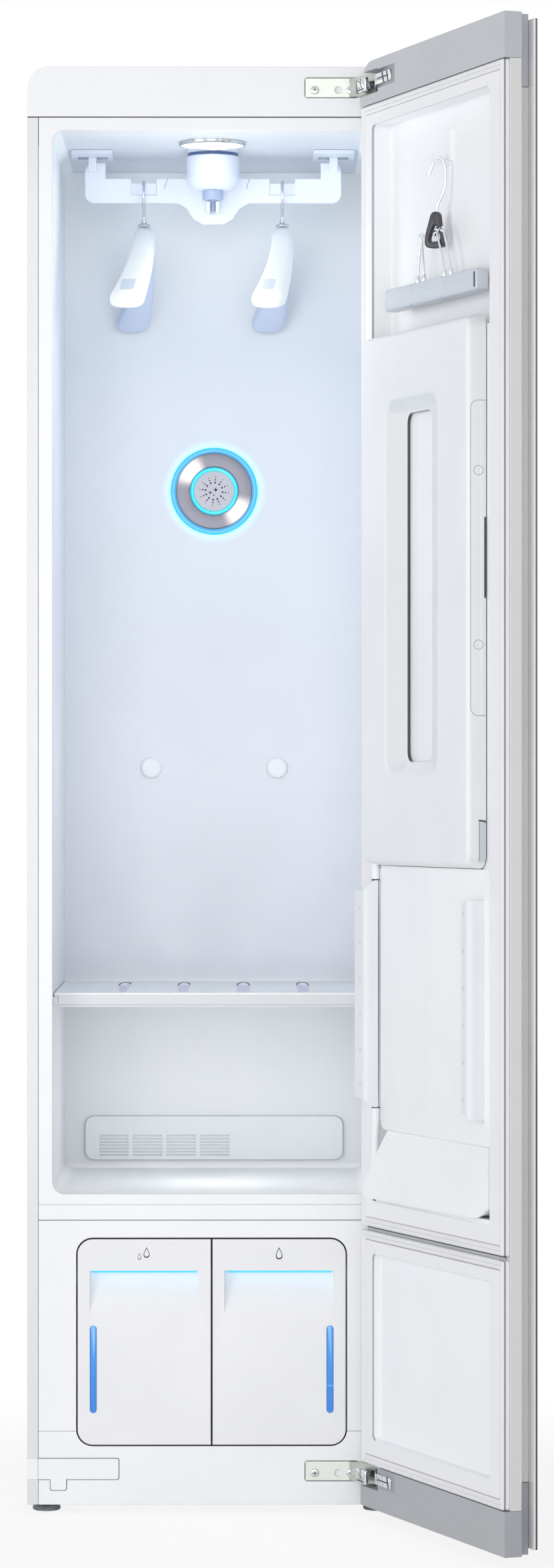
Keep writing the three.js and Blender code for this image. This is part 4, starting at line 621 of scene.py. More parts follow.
def press_layers(look):
    """The window's shaded funnel, roof and lip, and on the latch edge the side panel's outline, its two round
    buttons, painted shade in the dark gap that a finger pulls, and a notched block below, its notched edge
    painted dark as shade."""
    s, d, z = look.door()
    side = s.step(403, 406) * d.step(18.5, 16)
    panel = seam(outline_gap(d, z, -40, 15.5, 1014, 1392, 9), 0.9)
    buttons = any_of(seam(apart(d, z, 6, height) - 5.6, 0.8) for height in (1308, 1099))
    pull_gap_shade = d.step(-0.4, -1.2) * z.band(1155, 1252, 0.6)
    slope = d.band(8.6, 18.6, 0.6)
    funnel = slope * s.band(139, 190, 2) * z.band(949, 1408, 3)
    roof = slope * s.band(150, 300, 6) * z.step(1392, 1396) * z.step(1412, 1409)
    curve = 888 - (d - 5) * (d - 5) * 0.02
    block = side * d.step(5.4, 4.8) * z.band(838, 886, 0.5)
    notch_shade = (seam(z - curve, 2.4) * d.step(6.5, 5.5)).most(seam(d - 5, 1.0) * z.band(840, 886, 1) * 0.7)
    lip = outline_gap(s, z, *PRESS_SLOT[:4], 13).band(-1.6, 0.8, 0.3) * d.band(3.0, 8.3, 0.3)
    lip = lip * s.step(215, 190).most(z.step(1374, 1388) * 0.7)
    # Painted shade in the funnel, its roof and lip, the finger gap and the block's notched edge.
    return ((funnel * 0.35, "d2d5d8"), (lip, "42484c"), (roof * 0.5, "cfd9df"), (side * 0.55, "d6dbdf"),
            (side * panel.most(buttons), "9ba1a8"), (side * pull_gap_shade, "3c4046"), (block, "c5cbd0"),
            (side * notch_shade, "3a3e43"))


def seal_layers(look):
    """The seal's foot lies in shade: it is greyer than its two lips."""
    s, d, _ = look.door()
    return ((d.band(-4.6, -2.4, 0.6) * (s.step(448, 455) * 0.8 + 0.1), "85868a"),)


def split_shade_layers(look):
    """Between the two seals: a grey strip standing for the shade in their gap, with a painted shadow under
    the upper seal.
    """
    _, _, z = look.door()
    return ((z.step(368.3, 369.0), "3f4145"),)


def clamp_layers(look):
    """Clamp bar in three lengths, with hairline joints and a shaded foot."""
    s, _, z = look.door()
    joints = any_of(seam(s - joint, 1.2) for joint in (175, 275))
    return ((joints * z.step(1554.5, 1553.5), "a9b0b9"), (z.step(1531, 1528) * 0.5, "b9c0ca"))


def lamp_lens():
    """Lit lens: white, slightly brighter at its middle."""
    look = Recipe("lamp_plastic", (0.9, 0.93, 0.97), 0.25, coat=0.4, glow=((1, 1, 1), 1.6))
    x, y, _ = look.cabinet()
    glow = look.mix(apart(x, y, 0, LAMP_Y).step(10, 42), (1.0, 1.0, 1.0), (0.72, 0.82, 0.95))
    look.feed("Roughness", look.noise(60, 2) * 0.1 + 0.2)
    return look.feed("Emission Color", glow).material


PLASTICS = {
    "white_moulding": dict(code="f4f5f7", rough=0.34, grain=0.00005, coat=0.15, layers=front_layers),
    "cavity_plastic": dict(code="e7eaf0", rough=0.42, layers=cavity_layers, lights=cavity_lights),
    "shelf_plastic": dict(code="e6eaee"),
    "shelf_face": dict(code="e6eaee", layers=shelf_layers),
    "inner_plastic": dict(code="f1f3f6"),
    "ceiling_plastic": dict(code="dde6f5", rough=0.38),
    "carriage_plastic": dict(code="e4ecf8", rough=0.38, layers=carriage_layers),
    "hanger_plastic": dict(code="f8fcff", rough=0.36, layers=hanger_layers),
    "tank_face": dict(code="ededef", rough=0.36, layers=tank_layers, lights=tank_lights, strength=0.9),
    "tray_plastic": dict(code="f6f7f9", layers=tray_layers),
    "pad_plastic": dict(code="f3f5f7", rough=0.45, grain=0.0001, layers=pad_layers),
    "press_plastic": dict(code="eff1f3", rough=0.36, layers=press_layers),
    "edge_profile": dict(code="dedddc", rough=0.38),
    "grey_trim": dict(code="bdc0c5", rough=0.36, layers=trim_layers),
    "soft_seal": dict(code="ebebed", rough=0.6, grain=0.00012, layers=seal_layers),
    "clear_grey_plastic": dict(code="cfd5dd", rough=0.3),
    "clamp_plastic": dict(code="ced4dc", rough=0.3, coat=0.3, layers=clamp_layers),
    "machine_paint": dict(code="26272a", rough=0.5, grain=0.0001),
    "fan_plastic": dict(code="d3d3d2", rough=0.45),
    # Dark plastic of the trouser clip, and also the thin dark plates of painted shade in gaps, slots and
    # screw crosses.
    "dark_plastic": dict(code="3a3840", grain=0.0001),
    # Thin ring in the motor cover's groove, painted dark blue as its shade.
    "groove_blue": dict(code="4a6496"),
    "crank_plastic": dict(code="a9b9d6", rough=0.42),
    "peg_plastic": dict(code="d3d7dc"),
    "flap_plastic": dict(code="e9ecef"),
    # Grey strip between the door's seals, standing for the shade in their gap.
    "split_grey": dict(code="bcbdc0", rough=0.5, layers=split_shade_layers),
    "mark_ink": dict(code="2c2e32", rough=0.5),
}
STEELS = {
    "galvanised_steel": dict(code="c3c6c0", rough=0.36, stretch=(30, 30, 1), contrast=0.05),
    "chrome": dict(code="c6cacc", rough=0.14, stretch=(1, 1, 1), contrast=0.02),
    "wire_steel": dict(code="dde1e6", rough=0.2, stretch=(1, 1, 1), contrast=0.05),
    "dull_steel": dict(code="b0b2b4", rough=0.34),
}
OTHER_FINISHES = {
    "white_lacquer": lacquer,
    "link_steel": link_steel,
    "pocket_grey": pocket_grey,
    "dark_rubber": rubber,
    "front_glass": front_glass,
    "blue_light": ring_light,
    "inner_blue_light": ring_inner_light,
    "brushed_ring": ring_steel,
    "nozzle_plastic": nozzle_face,
    "level_window": window_blue,
    "lamp_plastic": lamp_lens,
}


class Finishes(dict):
    """Finishes by name, each made the first time that a piece asks for it."""

    def __missing__(self, name):
        if name in PLASTICS:
            self[name] = plastic(name, **PLASTICS[name])
        elif name in STEELS:
            self[name] = bright_steel(name, **STEELS[name])
        else:
            self[name] = OTHER_FINISHES[name]()
        return self[name]


finishes = Finishes()


# ---------------------------------------------------------------- forms

def fitting(node, mesh, finish, bevel=0.0):
    """Links a mesh as a piece of the same name that rides on the body of a CAD node."""
    piece = bpy.data.objects.new(mesh.name, mesh)
    bpy.context.scene.collection.objects.link(piece)
    mesh.materials.append(finishes[finish])
    if bevel:
        soft = piece.modifiers.new("soft_edges", "BEVEL")
        soft.width = bevel * MM
        soft.segments = 2
        soft.limit_method = "ANGLE"
        soft.angle_limit = math.radians(SMOOTH_ANGLE)
        soft.harden_normals = True
        soft.use_clamp_overlap = True
    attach(piece, NODES[node]["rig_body"])
    return piece


def stand_in(node, mesh, finish, bevel=0.0):
    """A fitting that is shown instead of the CAD node itself."""
    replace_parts(fitting(node, mesh, finish, bevel), node)


def in_door(point):
    """Door measures (s, d, z) in mm of a point in metres: its offset from the door's corner along the three
    directions in which the measures run."""
    start = place_door(0, 0, 0)
    ways = [(place_door(*way) - start) / MM ** 2 for way in ((1, 0, 0), (0, 1, 0), (0, 0, 1))]
    return [float(np.dot(np.subtract(point, start), way)) for way in ways]


def cut_off(form, boxes):
    """Takes away a bmesh's vertices within the boxes of door measures (s0, s1, d0, d1, z0, z1), and closes
    the holes that are left."""
    places = [(v, in_door(v.co)) for v in form.verts]
    cut = [v for v, at in places for box in boxes
           if all(low < m < high for low, m, high in zip(box[::2], at, box[1::2]))]
    bmesh.ops.delete(form, geom=cut, context="VERTS")
    bmesh.ops.holes_fill(form, edges=[e for e in form.edges if e.is_boundary], sides=0)


def refine(node, finish, bevel, whole=True, without=()):
    """A copy of a CAD node that takes its place: its doubles merged, what stands in the boxes of without cut
    off, its flat triangles joined if whole is set, and its corners rounded by a Bevel."""
    form = bmesh.new()
    form.from_mesh(NODES[node].data)
    bmesh.ops.remove_doubles(form, verts=form.verts, dist=2e-6)
    if without:
        cut_off(form, without)
    if whole:
        bmesh.ops.dissolve_limit(form, angle_limit=math.radians(0.5), verts=form.verts, edges=form.edges)
    form.verts.index_update()
    points = np.array([v.co[:] for v in form.verts])
    faces = [[v.index for v in f.verts] for f in form.faces]
    form.free()
    stand_in(node, mesh_of(node + "_form", points, faces), finish, bevel)


def mesh_of(name, points, faces, smooth=SMOOTH_ANGLE):
    """A mesh from an array of points in metres and a list of faces, smooth up to the given angle."""
    mesh = bpy.data.meshes.new(name)
    mesh.from_pydata(points.reshape(-1, 3).tolist(), [], faces)
    mesh.shade_smooth()
    mesh.set_sharp_from_angle(angle=math.radians(smooth))
    return mesh


def quarter_turn(count):
    """Angles from 0 to a right angle."""
    return np.linspace(0, math.pi / 2, count)


def ring_faces(rows, count, closed=False):
    """Quads between rows of rings of count points, the last row joined to the first when closed."""
    row = np.arange(rows if closed else rows - 1)[:, None]
    col = np.arange(count)[None, :]
    here, after = row * count, ((row + 1) % rows) * count
    nxt = (col + 1) % count
    quads = np.stack([here + col, here + nxt, after + nxt, after + col], axis=-1)
    return quads.reshape(-1, 4).tolist()


def outward(mesh):
    """Turns a closed mesh's faces outwards."""
    form = bmesh.new()
    form.from_mesh(mesh)
    bmesh.ops.recalc_face_normals(form, faces=form.faces)
    form.to_mesh(mesh)
    form.free()
    return mesh


def loft(name, rings, smooth=SMOOTH_ANGLE, torus=False):
    """A skin through rings of points, an array of rows by count by 3 in metres. Its two ends are closed by
    flat faces, or joined to each other for a torus."""
    rows, count = rings.shape[:2]
    faces = ring_faces(rows, count, torus)
    if not torus:
        faces.append(list(range(count))[::-1])
        faces.append(list(range((rows - 1) * count, rows * count)))
    return outward(mesh_of(name, rings, faces, smooth))


def rounded_ring(a0, a1, b0, b1, radius, steps):
    """Points round a rectangle with quarter circles of the radius at its corners, as two arrays."""
    radius = max(min(radius, (a1 - a0) / 2 - 1e-3, (b1 - b0) / 2 - 1e-3), 1e-3)
    turn = quarter_turn(steps + 1)
    quarter = np.concatenate([turn + i * math.pi / 2 for i in range(4)])
    side = np.repeat([[1, 1], [-1, 1], [-1, -1], [1, -1]], steps + 1, axis=0)
    ca = np.where(side[:, 0] > 0, a1 - radius, a0 + radius)
    cb = np.where(side[:, 1] > 0, b1 - radius, b0 + radius)
    return ca + radius * np.cos(quarter), cb + radius * np.sin(quarter)


def pad_rings(spans, place, steps):
    """Rings for loft from rows of (a0, a1, b0, b1, radius, depth), with as many steps at each corner."""
    rings = []
    for a0, a1, b0, b1, radius, depth in spans:
        a, b = rounded_ring(a0, a1, b0, b1, radius, steps)
        rings.append(place(a, depth, b))
    return np.stack(rings)


def soft_block(name, a0, a1, b0, b1, d0, d1, radius, edge, place):
    """A plate from depth d0 to d1 with rounded corners. Its rims are quarter circles of the edge's radius."""
    turn = quarter_turn(4)
    sign = 1 if d1 > d0 else -1
    rows = [(edge * (1 - math.sin(t)), d0 + sign * edge * (1 - math.cos(t))) for t in turn]
    rows += [(edge * (1 - math.cos(t)), d1 - sign * edge * (1 - math.sin(t))) for t in turn]
    spans = [(a0 + e, a1 - e, b0 + e, b1 - e, max(radius - e, 0.05), d) for e, d in rows]
    return loft(name, pad_rings(spans, place, 6))


def tube(name, path, radius, sides, closed=False):
    """A round wire along an array of points in metres. Each ring lies across the path's direction, turned
    so that it doesn't twist; radius in mm may be one number or one for each point."""
    path = np.asarray(path, float)
    ahead = np.roll(path, -1, 0) - np.roll(path, 1, 0)
    if not closed:
        ahead[0], ahead[-1] = path[1] - path[0], path[-1] - path[-2]
    ahead /= np.linalg.norm(ahead, axis=1)[:, None]
    side = np.empty_like(path)
    first = np.cross(ahead[0], [0.31, 0.17, 0.93])
    side[0] = first / np.linalg.norm(first)
    for i in range(1, len(path)):
        s = side[i - 1] - ahead[i] * side[i - 1].dot(ahead[i])
        side[i] = s / np.linalg.norm(s)
    up = np.cross(ahead, side)
    turn = np.arange(sides) * 2 * math.pi / sides
    reach = (np.broadcast_to(radius, len(path)) * MM)[:, None, None]
    around = side[:, None] * np.cos(turn)[None, :, None] + up[:, None] * np.sin(turn)[None, :, None]
    return loft(name, path[:, None] + reach * around, WIRE_ANGLE, closed)


def smooth_path(points, steps):
    """Points of a curve that runs smoothly through the given ones, by the Catmull-Rom rule."""
    p = np.asarray(points, float)
    p = np.concatenate([2 * p[:1] - p[1:2], p, 2 * p[-1:] - p[-2:-1]])
    t = np.linspace(0, 1, steps, endpoint=False)[:, None, None]
    a, b, c, d = p[:-3], p[1:-2], p[2:-1], p[3:]
    bend, twist = 2 * a - 5 * b + 4 * c - d, 3 * b - a - 3 * c + d
    curve = 0.5 * (2 * b + (c - a) * t + bend * t ** 2 + twist * t ** 3)
    return np.concatenate([curve.transpose(1, 0, 2).reshape(-1, p.shape[1]), p[-2:-1]])


def turned(name, profile, centre, axis, place, sides):
    """A profile of (radius, depth) pairs turned about a line along y or z through the centre. One that starts
    at a pole also ends at one, and any other is joined to its own start, for a ring."""
    profile = np.asarray(profile, float)
    ring = profile[0, 0] > POLE
    turn = np.arange(sides) * 2 * math.pi / sides
    r, h = profile[:, :1], profile[:, 1:]
    a, b = centre[0] + r * np.cos(turn), centre[1] + r * np.sin(turn)
    h = np.broadcast_to(h, a.shape)
    rings = place(a, h, b) if axis == "y" else place(a, b, h)
    mesh = loft(name, rings, torus=ring)
    form = bmesh.new()
    form.from_mesh(mesh)
    bmesh.ops.remove_doubles(form, verts=form.verts, dist=1e-7)
    form.to_mesh(mesh)
    form.free()
    mesh.set_sharp_from_angle(angle=math.radians(SMOOTH_ANGLE))
    return mesh


def rod(name, centre, low, high, radius, edge, place):
    """An upright round rod between two heights, with its ends chamfered by the edge."""
    profile = [(POLE, low), (radius - edge, low), (radius, low + edge), (radius, high - edge),
               (radius - edge, high), (POLE, high)]
    return turned(name, profile, centre, "z", place, 28)


def joined(name, meshes, smooth=SMOOTH_ANGLE):
    """Several closed meshes as the islands of one."""
    form = bmesh.new()
    for mesh in meshes:
        form.from_mesh(mesh)
        bpy.data.meshes.remove(mesh)
    whole = bpy.data.meshes.new(name)
    form.to_mesh(whole)
    form.free()
    whole.shade_smooth()
    whole.set_sharp_from_angle(angle=math.radians(smooth))
    return whole


def ring_plate(name, outer, inner, d0, d1, edge, place, smooth=SOFT_ANGLE):
    """A plate from depth d0 to d1 between two outlines of as many points each. Its four rims are rounded:
    each rim's points move from one outline towards the other by the edge's radius."""
    outer, inner = np.asarray(outer, float), np.asarray(inner, float)
    way = inner - outer
    way /= np.linalg.norm(way, axis=1)[:, None]
    turn = quarter_turn(4)
    sink, step = edge * (1 - np.sin(turn)), edge * (1 - np.cos(turn))
    low, high = d0 + step * (1 if d1 > d0 else -1), d1 - step * (1 if d1 > d0 else -1)
    rows = [(outer + way * e, d) for e, d in zip(sink, low)]
    rows += [(outer + way * e, d) for e, d in zip(sink[::-1], high[::-1])]
    rows += [(inner - way * e, d) for e, d in zip(sink, high)]
    rows += [(inner - way * e, d) for e, d in zip(sink[::-1], low[::-1])]
    return loft(name, np.stack([place(p[:, 0], d, p[:, 1]) for p, d in rows]), smooth, torus=True)


def carried_profile(name, a0, a1, b0, b1, radius, profile, place):
    """A profile of (inset, depth) pairs carried round a rounded rectangle and closed on itself."""
    spans = [(a0 + e, a1 - e, b0 + e, b1 - e, max(radius - e, 0.3), d) for e, d in profile]
    return loft(name, pad_rings(spans, place, 5), SOFT_ANGLE, torus=True)


def dome(name, a, b, radius, d0, d1, place, sides):
    """A round button from depth d0 to d1: a quarter ellipse turned about its middle, with a flat top."""
    flat = 0.55 * radius
    profile = [(POLE, d0), (radius, d0)]
    profile += [(flat + (radius - flat) * math.cos(t), d0 + (d1 - d0) * math.sin(t))
                for t in quarter_turn(5)]
    profile.append((POLE, d1))
    return turned(name, profile, (a, b), "y", place, sides)


def cross_slot(name, a, b, reach, width, d0, d1, place):
    """A plus-shaped plate: twelve corners on a cross."""
    w = width / 2
    corners = [(reach, w), (w, w), (w, reach), (-w, reach), (-w, w), (-reach, w), (-reach, -w), (-w, -w),
               (-w, -reach), (w, -reach), (w, -w), (reach, -w)]
    p = np.array(corners, float) + [a, b]
    return loft(name, np.stack([place(p[:, 0], d, p[:, 1]) for d in (d0, d1)]))


def bent_sheet(name, outer, inner, low, high):
    """A bent sheet of the door between two lines of as many (s, d) points, from the heights low to high."""
    count = len(outer)
    rows = [place_door(line[:, 0], line[:, 1], height)
            for line, height in ((outer, low), (outer, high), (inner, high), (inner, low))]
    row, col = np.arange(4)[:, None], np.arange(count - 1)[None, :]
    here, after = row * count + col, (row + 1) % 4 * count + col
    quads = np.stack([here, here + 1, after + 1, after], axis=-1).reshape(-1, 4).tolist()
    ends = [[i * count + end for i in range(4)] for end in (0, count - 1)]
    return outward(mesh_of(name, np.stack(rows), quads + ends, ROUND_ANGLE))


def eased(value, start, end):
    """0 at start and 1 at end, easing in and out between them."""
    t = np.clip((value - start) / (end - start), 0, 1)
    return t * t * (3 - 2 * t)


def drop_outline(a, b, reach):
    """A water drop: a circle whose top is drawn to a point, its half width falling with the height."""
    t = np.linspace(0, 2 * math.pi, 36, endpoint=False)
    return np.stack([a + reach * np.sin(t) * np.sin(t / 2) ** 1.6, b + reach * 1.25 * np.cos(t)], axis=-1)


# ---------------------------------------------------------------- sizes a user may change

class CareCabinetSizes(bpy.types.PropertyGroup):
    """Sizes and colours of the dressing."""
    edge_round: FloatProperty(
        name="Edge rounding", description="Radius of the small soft edges, in millimetres",
        default=0.7, min=0.1, max=2.0)
    lamp_power: FloatProperty(
        name="Lamp power", description="Power of the soft lamps inside the garment space",
        default=1.9, min=0.0, unit="POWER")
    ring_glow: FloatProperty(
        name="Ring glow", description="Strength of the nozzle rings' light",
        default=0.9, min=0.0)
    ring_colour: FloatVectorProperty(
        name="Ring colour", description="Colour of the outer ring's light",
        default=(0.024, 0.4, 0.855), subtype="COLOR", min=0, max=1)
    steam_holes: IntProperty(
        name="Steam holes", description="Rows of holes round the nozzle's disc",
        default=12, min=4)
    studio_level: FloatProperty(
        name="Studio level", description="Factor on the power of all studio lamps",
        default=1.0, min=0.0)


def sizes():
    """The sizes as the user has set them."""
    return bpy.context.scene.care_cabinet


class PieceOperator:
    """Base of the operators: each builds its pieces once and reports them."""
    bl_options = {"REGISTER", "UNDO"}

    def execute(self, context):
        before = set(bpy.data.objects)
        self.build(sizes())
        made = len(set(bpy.data.objects) - before)
        self.report({"INFO"}, f"{self.bl_label}: {made} pieces")
        return {"FINISHED"}


# ---------------------------------------------------------------- the pieces

class CARE_OT_shell(PieceOperator, bpy.types.Operator):
    """Outer sheets, cap, front faces, pan and feet, with softly rounded edges"""
    bl_idname = "care.shell"
    bl_label = "Cabinet shell"

    def build(self, size):
        edge = size.edge_round
        for node in ("left_side_panel", "right_side_panel", "back_panel"):
            refine(node, "white_lacquer", edge)
        for node in ("top_cap", "front_frame", "lower_fascia", "kick_panel", "hinge_hole_cover"):
            refine(node, "white_moulding", edge)
        refine("base_pan", "galvanised_steel", 0.4)
        for corner in ("front_left", "front_right", "back_left", "back_right"):
            self.foot("foot_" + corner)

    def foot(self, node):
        """Levelling foot: a lipped rubber disc and, above it, a six-sided steel nut on the stem."""
        low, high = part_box(node)
        middle = ((low.x + high.x) / (2 * MM) - ZERO_X, (low.y + high.y) / (2 * MM) - ZERO_Y)
        disc = [(POLE, 0), (15.6, 0), (17.4, 0.8), (18, 2.2), (18, 3.6), (17.2, 4.4), (17.2, 5.0),
                (17.7, 5.6), (17.0, 6.6), (15.2, 7.0), (12, 6.2), (9, 6.2), (POLE, 6.2)]
        nut = [(POLE, 6.3), (7.6, 6.3), (8, 6.8), (8, 10.1), (7.5, 10.6), (POLE, 10.6)]
        stand_in(node, turned(node + "_disc", disc, middle, "z", place_cabinet, 56), "dark_rubber")
        fitting(node, turned(node + "_nut", nut, middle, "z", place_cabinet, 6), "chrome")


class CARE_OT_cavity(PieceOperator, bpy.types.Operator):
    """Garment space with its shelf, low vent panel and wall pads"""
    bl_idname = "care.cavity"
    bl_label = "Garment space"

    def build(self, size):
        refine("cavity_liner", "cavity_plastic", 1.0)
        refine("shelf", "shelf_face", 1.6)
        refine("vent_panel", "shelf_plastic", 0.5)
        screen = soft_block("vent_screen", -158, 28, 424.5, 455.8, 437.8, 436.2, 1.0, 0.3, place_cabinet)
        fitting("vent_panel", screen, "shelf_plastic")
        self.pad("wall_pad_left", -86)
        self.pad("wall_pad_right", 86)

    def pad(self, node, x):
        """A round pad on the back wall, whose front rim is a quarter ellipse."""
        back = BACK_WALL - CLEAR
        profile = [(POLE, back), (14.6, back)]
        profile += [(10.6 + 4 * math.cos(t), back - 0.8 - 4.2 * math.sin(t)) for t in quarter_turn(7)]
        profile.append((POLE, back - 5))
        stand_in(node, turned(node + "_form", profile, (x, 955), "y", place_cabinet, 56), "inner_plastic")


class CARE_OT_nozzle(PieceOperator, bpy.types.Operator):
    """Steam nozzle: blue light ring, spun steel ring, inner light ring and grey disc with its holes"""
    bl_idname = "care.nozzle"
    bl_label = "Steam nozzle"

    def build(self, size):
        rings = (
            ("nozzle_light_ring", "blue_light", 52.0, 59.6, 5.6, 2.6),
            ("nozzle_steel_ring", "brushed_ring", 32.9, 51.7, 7.0, 1.2),
            ("nozzle_disc", "nozzle_plastic", None, 27.4, 5.4, 0.8),
        )
        for node, finish, *measures in rings:
            stand_in(node, self.ring(node + "_form", *measures), finish)
        light = self.ring("nozzle_inner_light", 27.5, 32.4, 5.8, 2.0)
        fitting("nozzle_disc", light, "inner_blue_light")

    def ring(self, name, inner, outer, height, edge):
        """A flat ring turned about the nozzle's middle, its front rims quarter circles of the edge's radius.
        Without an inner radius it is a disc."""
        back = BACK_WALL - CLEAR
        face = back - height
        rim = [(edge * (1 - math.cos(t)), face + edge * (1 - math.sin(t))) for t in quarter_turn(6)]
        profile = [(outer, back)] + [(outer - inset, depth) for inset, depth in rim]
        if inner is None:
            profile = [(POLE, back), *profile, (POLE, face)]
        else:
            profile += [(inner + inset, depth) for inset, depth in rim[::-1]] + [(inner, back)]
        return turned(name, profile, (0, NOZZLE_Z), "y", place_cabinet, 96)


class CARE_OT_ceiling(PieceOperator, bpy.types.Operator):
    """Lamp, drive motor cover, crank, slotted brackets and the moving hanger carriage"""
    bl_idname = "care.ceiling"
    bl_label = "Ceiling drive"

    def build(self, size):
        self.lamp(CEILING - CLEAR)
        self.motor(CEILING - CLEAR, 1716)
        for side in ("left", "right"):
            refine("slide_bracket_" + side, "ceiling_plastic", 0.8)
        refine("crank", "crank_plastic", 0.8)
        refine("hanger_carriage", "carriage_plastic", 1.6, whole=False)

    def lamp(self, top):
        """A lens domed as a quarter ellipse, in a bright rolled rim."""
        lens = [(POLE, top - 1), (40.6, top - 1)]
        lens += [(40.6 * math.cos(t), top - 1.6 - 3.0 * math.sin(t)) for t in quarter_turn(8)[:-1]]
        lens.append((POLE, top - 4.7))
        rim = [(44, 0), (44, 2), (43.2, 4.2), (42, 5), (41, 4.2), (40.8, 2), (40.8, 0)]
        rim = [(radius, top - drop) for radius, drop in rim]
        middle = (0, LAMP_Y)
        stand_in("lamp_housing", turned("lamp_lens", lens, middle, "z", place_cabinet, 72), "lamp_plastic")
        fitting("lamp_housing", turned("lamp_rim", rim, middle, "z", place_cabinet, 72), "chrome")

    def motor(self, top, low):
        """A hollow cup that is open below round its shaft, with a thin ring painted dark blue as the shade in
        a groove near the ceiling.
        """
        cup = [(5.4, low)] + [(16 + 19 * math.sin(t), low + 17 * (1 - math.cos(t))) for t in quarter_turn(8)]
        cup += [(35, top - 9), (32.6, top - 8), (32.6, top - 4), (35, top - 3.2), (35, top), (32, top),
                (31.6, low + 18), (16, low + 3), (5.4, low + 3)]
        # A thin dark blue ring in the groove: painted shade.
        groove = [(32.9, top - 7.8), (32.9, top - 4.2), (32.7, top - 4.2), (32.7, top - 7.8)]
        middle = (0, MOTOR_Y)
        stand_in("motor_cover", turned("motor_cover_form", cup, middle, "z", place_cabinet, 80),
                 "ceiling_plastic")
        fitting("motor_cover", turned("motor_cover_groove", groove, middle, "z", place_cabinet, 80),
                "groove_blue")


class CARE_OT_hangers(PieceOperator, bpy.types.Operator):
    """The two coat hangers with their wire hooks"""
    bl_idname = "care.hangers"
    bl_label = "Coat hangers"

    def build(self, size):
        for hanger, x in (("hanger_left", -92.0), ("hanger_right", 92.0)):
            shoulders, wire = self.shoulders(hanger + "_shoulders", x), self.wire(hanger + "_wire", x)
            stand_in(hanger + "_body", shoulders, "hanger_plastic")
            stand_in(hanger + "_hook", wire, "wire_steel")

    def shoulders(self, name, x):
        """Oval sections along the depth: from the neck to both tips each falls with the share of the way to
        the power 1.25, leans left and widens with its power 2.3, thins, and shrinks to a round end."""
        share = np.sin(np.linspace(-math.pi / 2, math.pi / 2, 81))
        far = np.abs(share)
        fall, flare = far ** 1.25, far ** 2.3
        tail = np.clip((far - 0.93) / 0.07, 0, 1)
        shrink = np.sqrt(np.maximum(1 - tail ** 2, 0.002))
        reach_x = (14.6 + 8.8 * flare) * (0.35 + 0.65 * shrink)
        reach_z = (23 - 12.5 * fall) * shrink
        middle = HANGER_NECK - 23 - fall * 96
        turn = np.arange(48) * 2 * math.pi / 48
        across, up = (np.sign(part) * np.abs(part) ** 0.7 for part in (np.cos(turn), np.sin(turn)))
        xs = (x - 21 * flare)[:, None] + reach_x[:, None] * across
        ys = np.broadcast_to((HANGER_Y + 180 * share)[:, None], xs.shape)
        zs = middle[:, None] + reach_z[:, None] * up
        return loft(name, place_cabinet(xs, ys, zs), ROUND_ANGLE)

    def wire(self, name, x):
        """Hook wire: an arc over the carriage's saddle, then straight down into a turned collar."""
        arc = np.radians(np.linspace(-30, 225, 26))
        centre = HANGER_SADDLE + 0.3 - 17
        path = [(HANGER_Y + 19 * math.cos(t), centre + 19 * math.sin(t)) for t in arc]
        path += [(HANGER_Y - 8, centre - 19), (HANGER_Y - 2, centre - 25), (HANGER_Y, HANGER_NECK + 12),
                 (HANGER_Y, HANGER_NECK + 3)]
        path = smooth_path([place_cabinet(x, y, z) for y, z in path], 4)
        collar = [(POLE, 0.3), (9, 0.3), (9, 1.6), (8, 2.6), (4.6, 3.4), (3.6, 5.0), (3.4, 9.0), (2.1, 9.8),
                  (POLE, 9.8)]
        collar = [(radius, HANGER_NECK + rise) for radius, rise in collar]
        ring = turned("collar", collar, (x, HANGER_Y), "z", place_cabinet, 32)
        return joined(name, [tube("wire", path, 2.0, 14), ring], ROUND_ANGLE)


class CARE_OT_tanks(PieceOperator, bpy.types.Operator):
    """Drain and water tanks in their bay"""
    bl_idname = "care.tanks"
    bl_label = "Water tanks"

    def build(self, size):
        refine("tank_bay", "inner_plastic", 0.4)
        self.tank("drain", -1, ((-6, 328.5, 3.4), (3, 333.5, 5.6)))
        self.tank("water", 1, ((0, 332.5, 6.4),))

    def tank(self, kind, side, drops):
        """A tank with its front, the lit window of its level and its mark of one or two drops."""
        front = kind + "_tank_front"
        refine(kind + "_tank", "clear_grey_plastic", 0.8)
        refine(front, "tank_face", 1.1)
        x0, x1 = sorted((side * 147.2, side * 155.8))
        window = soft_block(kind + "_level_window", x0, x1, 128.2, 239.8, 1.45, 0.35, 4.2, 0.6, place_cabinet)
        fitting(front, window, "level_window")
        marks = [self.drop(side * TANK_X + across, z, reach) for across, z, reach in drops]
        fitting(front, joined(kind + "_drop_mark", marks), "mark_ink")

    def drop(self, x, z, reach):
        """An outlined water drop, a hair proud of the tank's face."""
        outer, inner = drop_outline(x, z, reach), drop_outline(x, z - 0.1, reach * 0.76)
        return ring_plate("drop", outer, inner, -0.12, 0.1, 0.03, place_cabinet)


class CARE_OT_machinery(PieceOperator, bpy.types.Operator):
    """Compressor, steam generator and blower behind the tanks"""
    bl_idname = "care.machinery"
    bl_label = "Machinery"

    def build(self, size):
        refine("compressor", "machine_paint", 1.5)
        refine("blower_housing", "machine_paint", 0.8)
        refine("steam_generator", "dull_steel", 0.8)
        refine("blower_fan", "fan_plastic", 0.4)


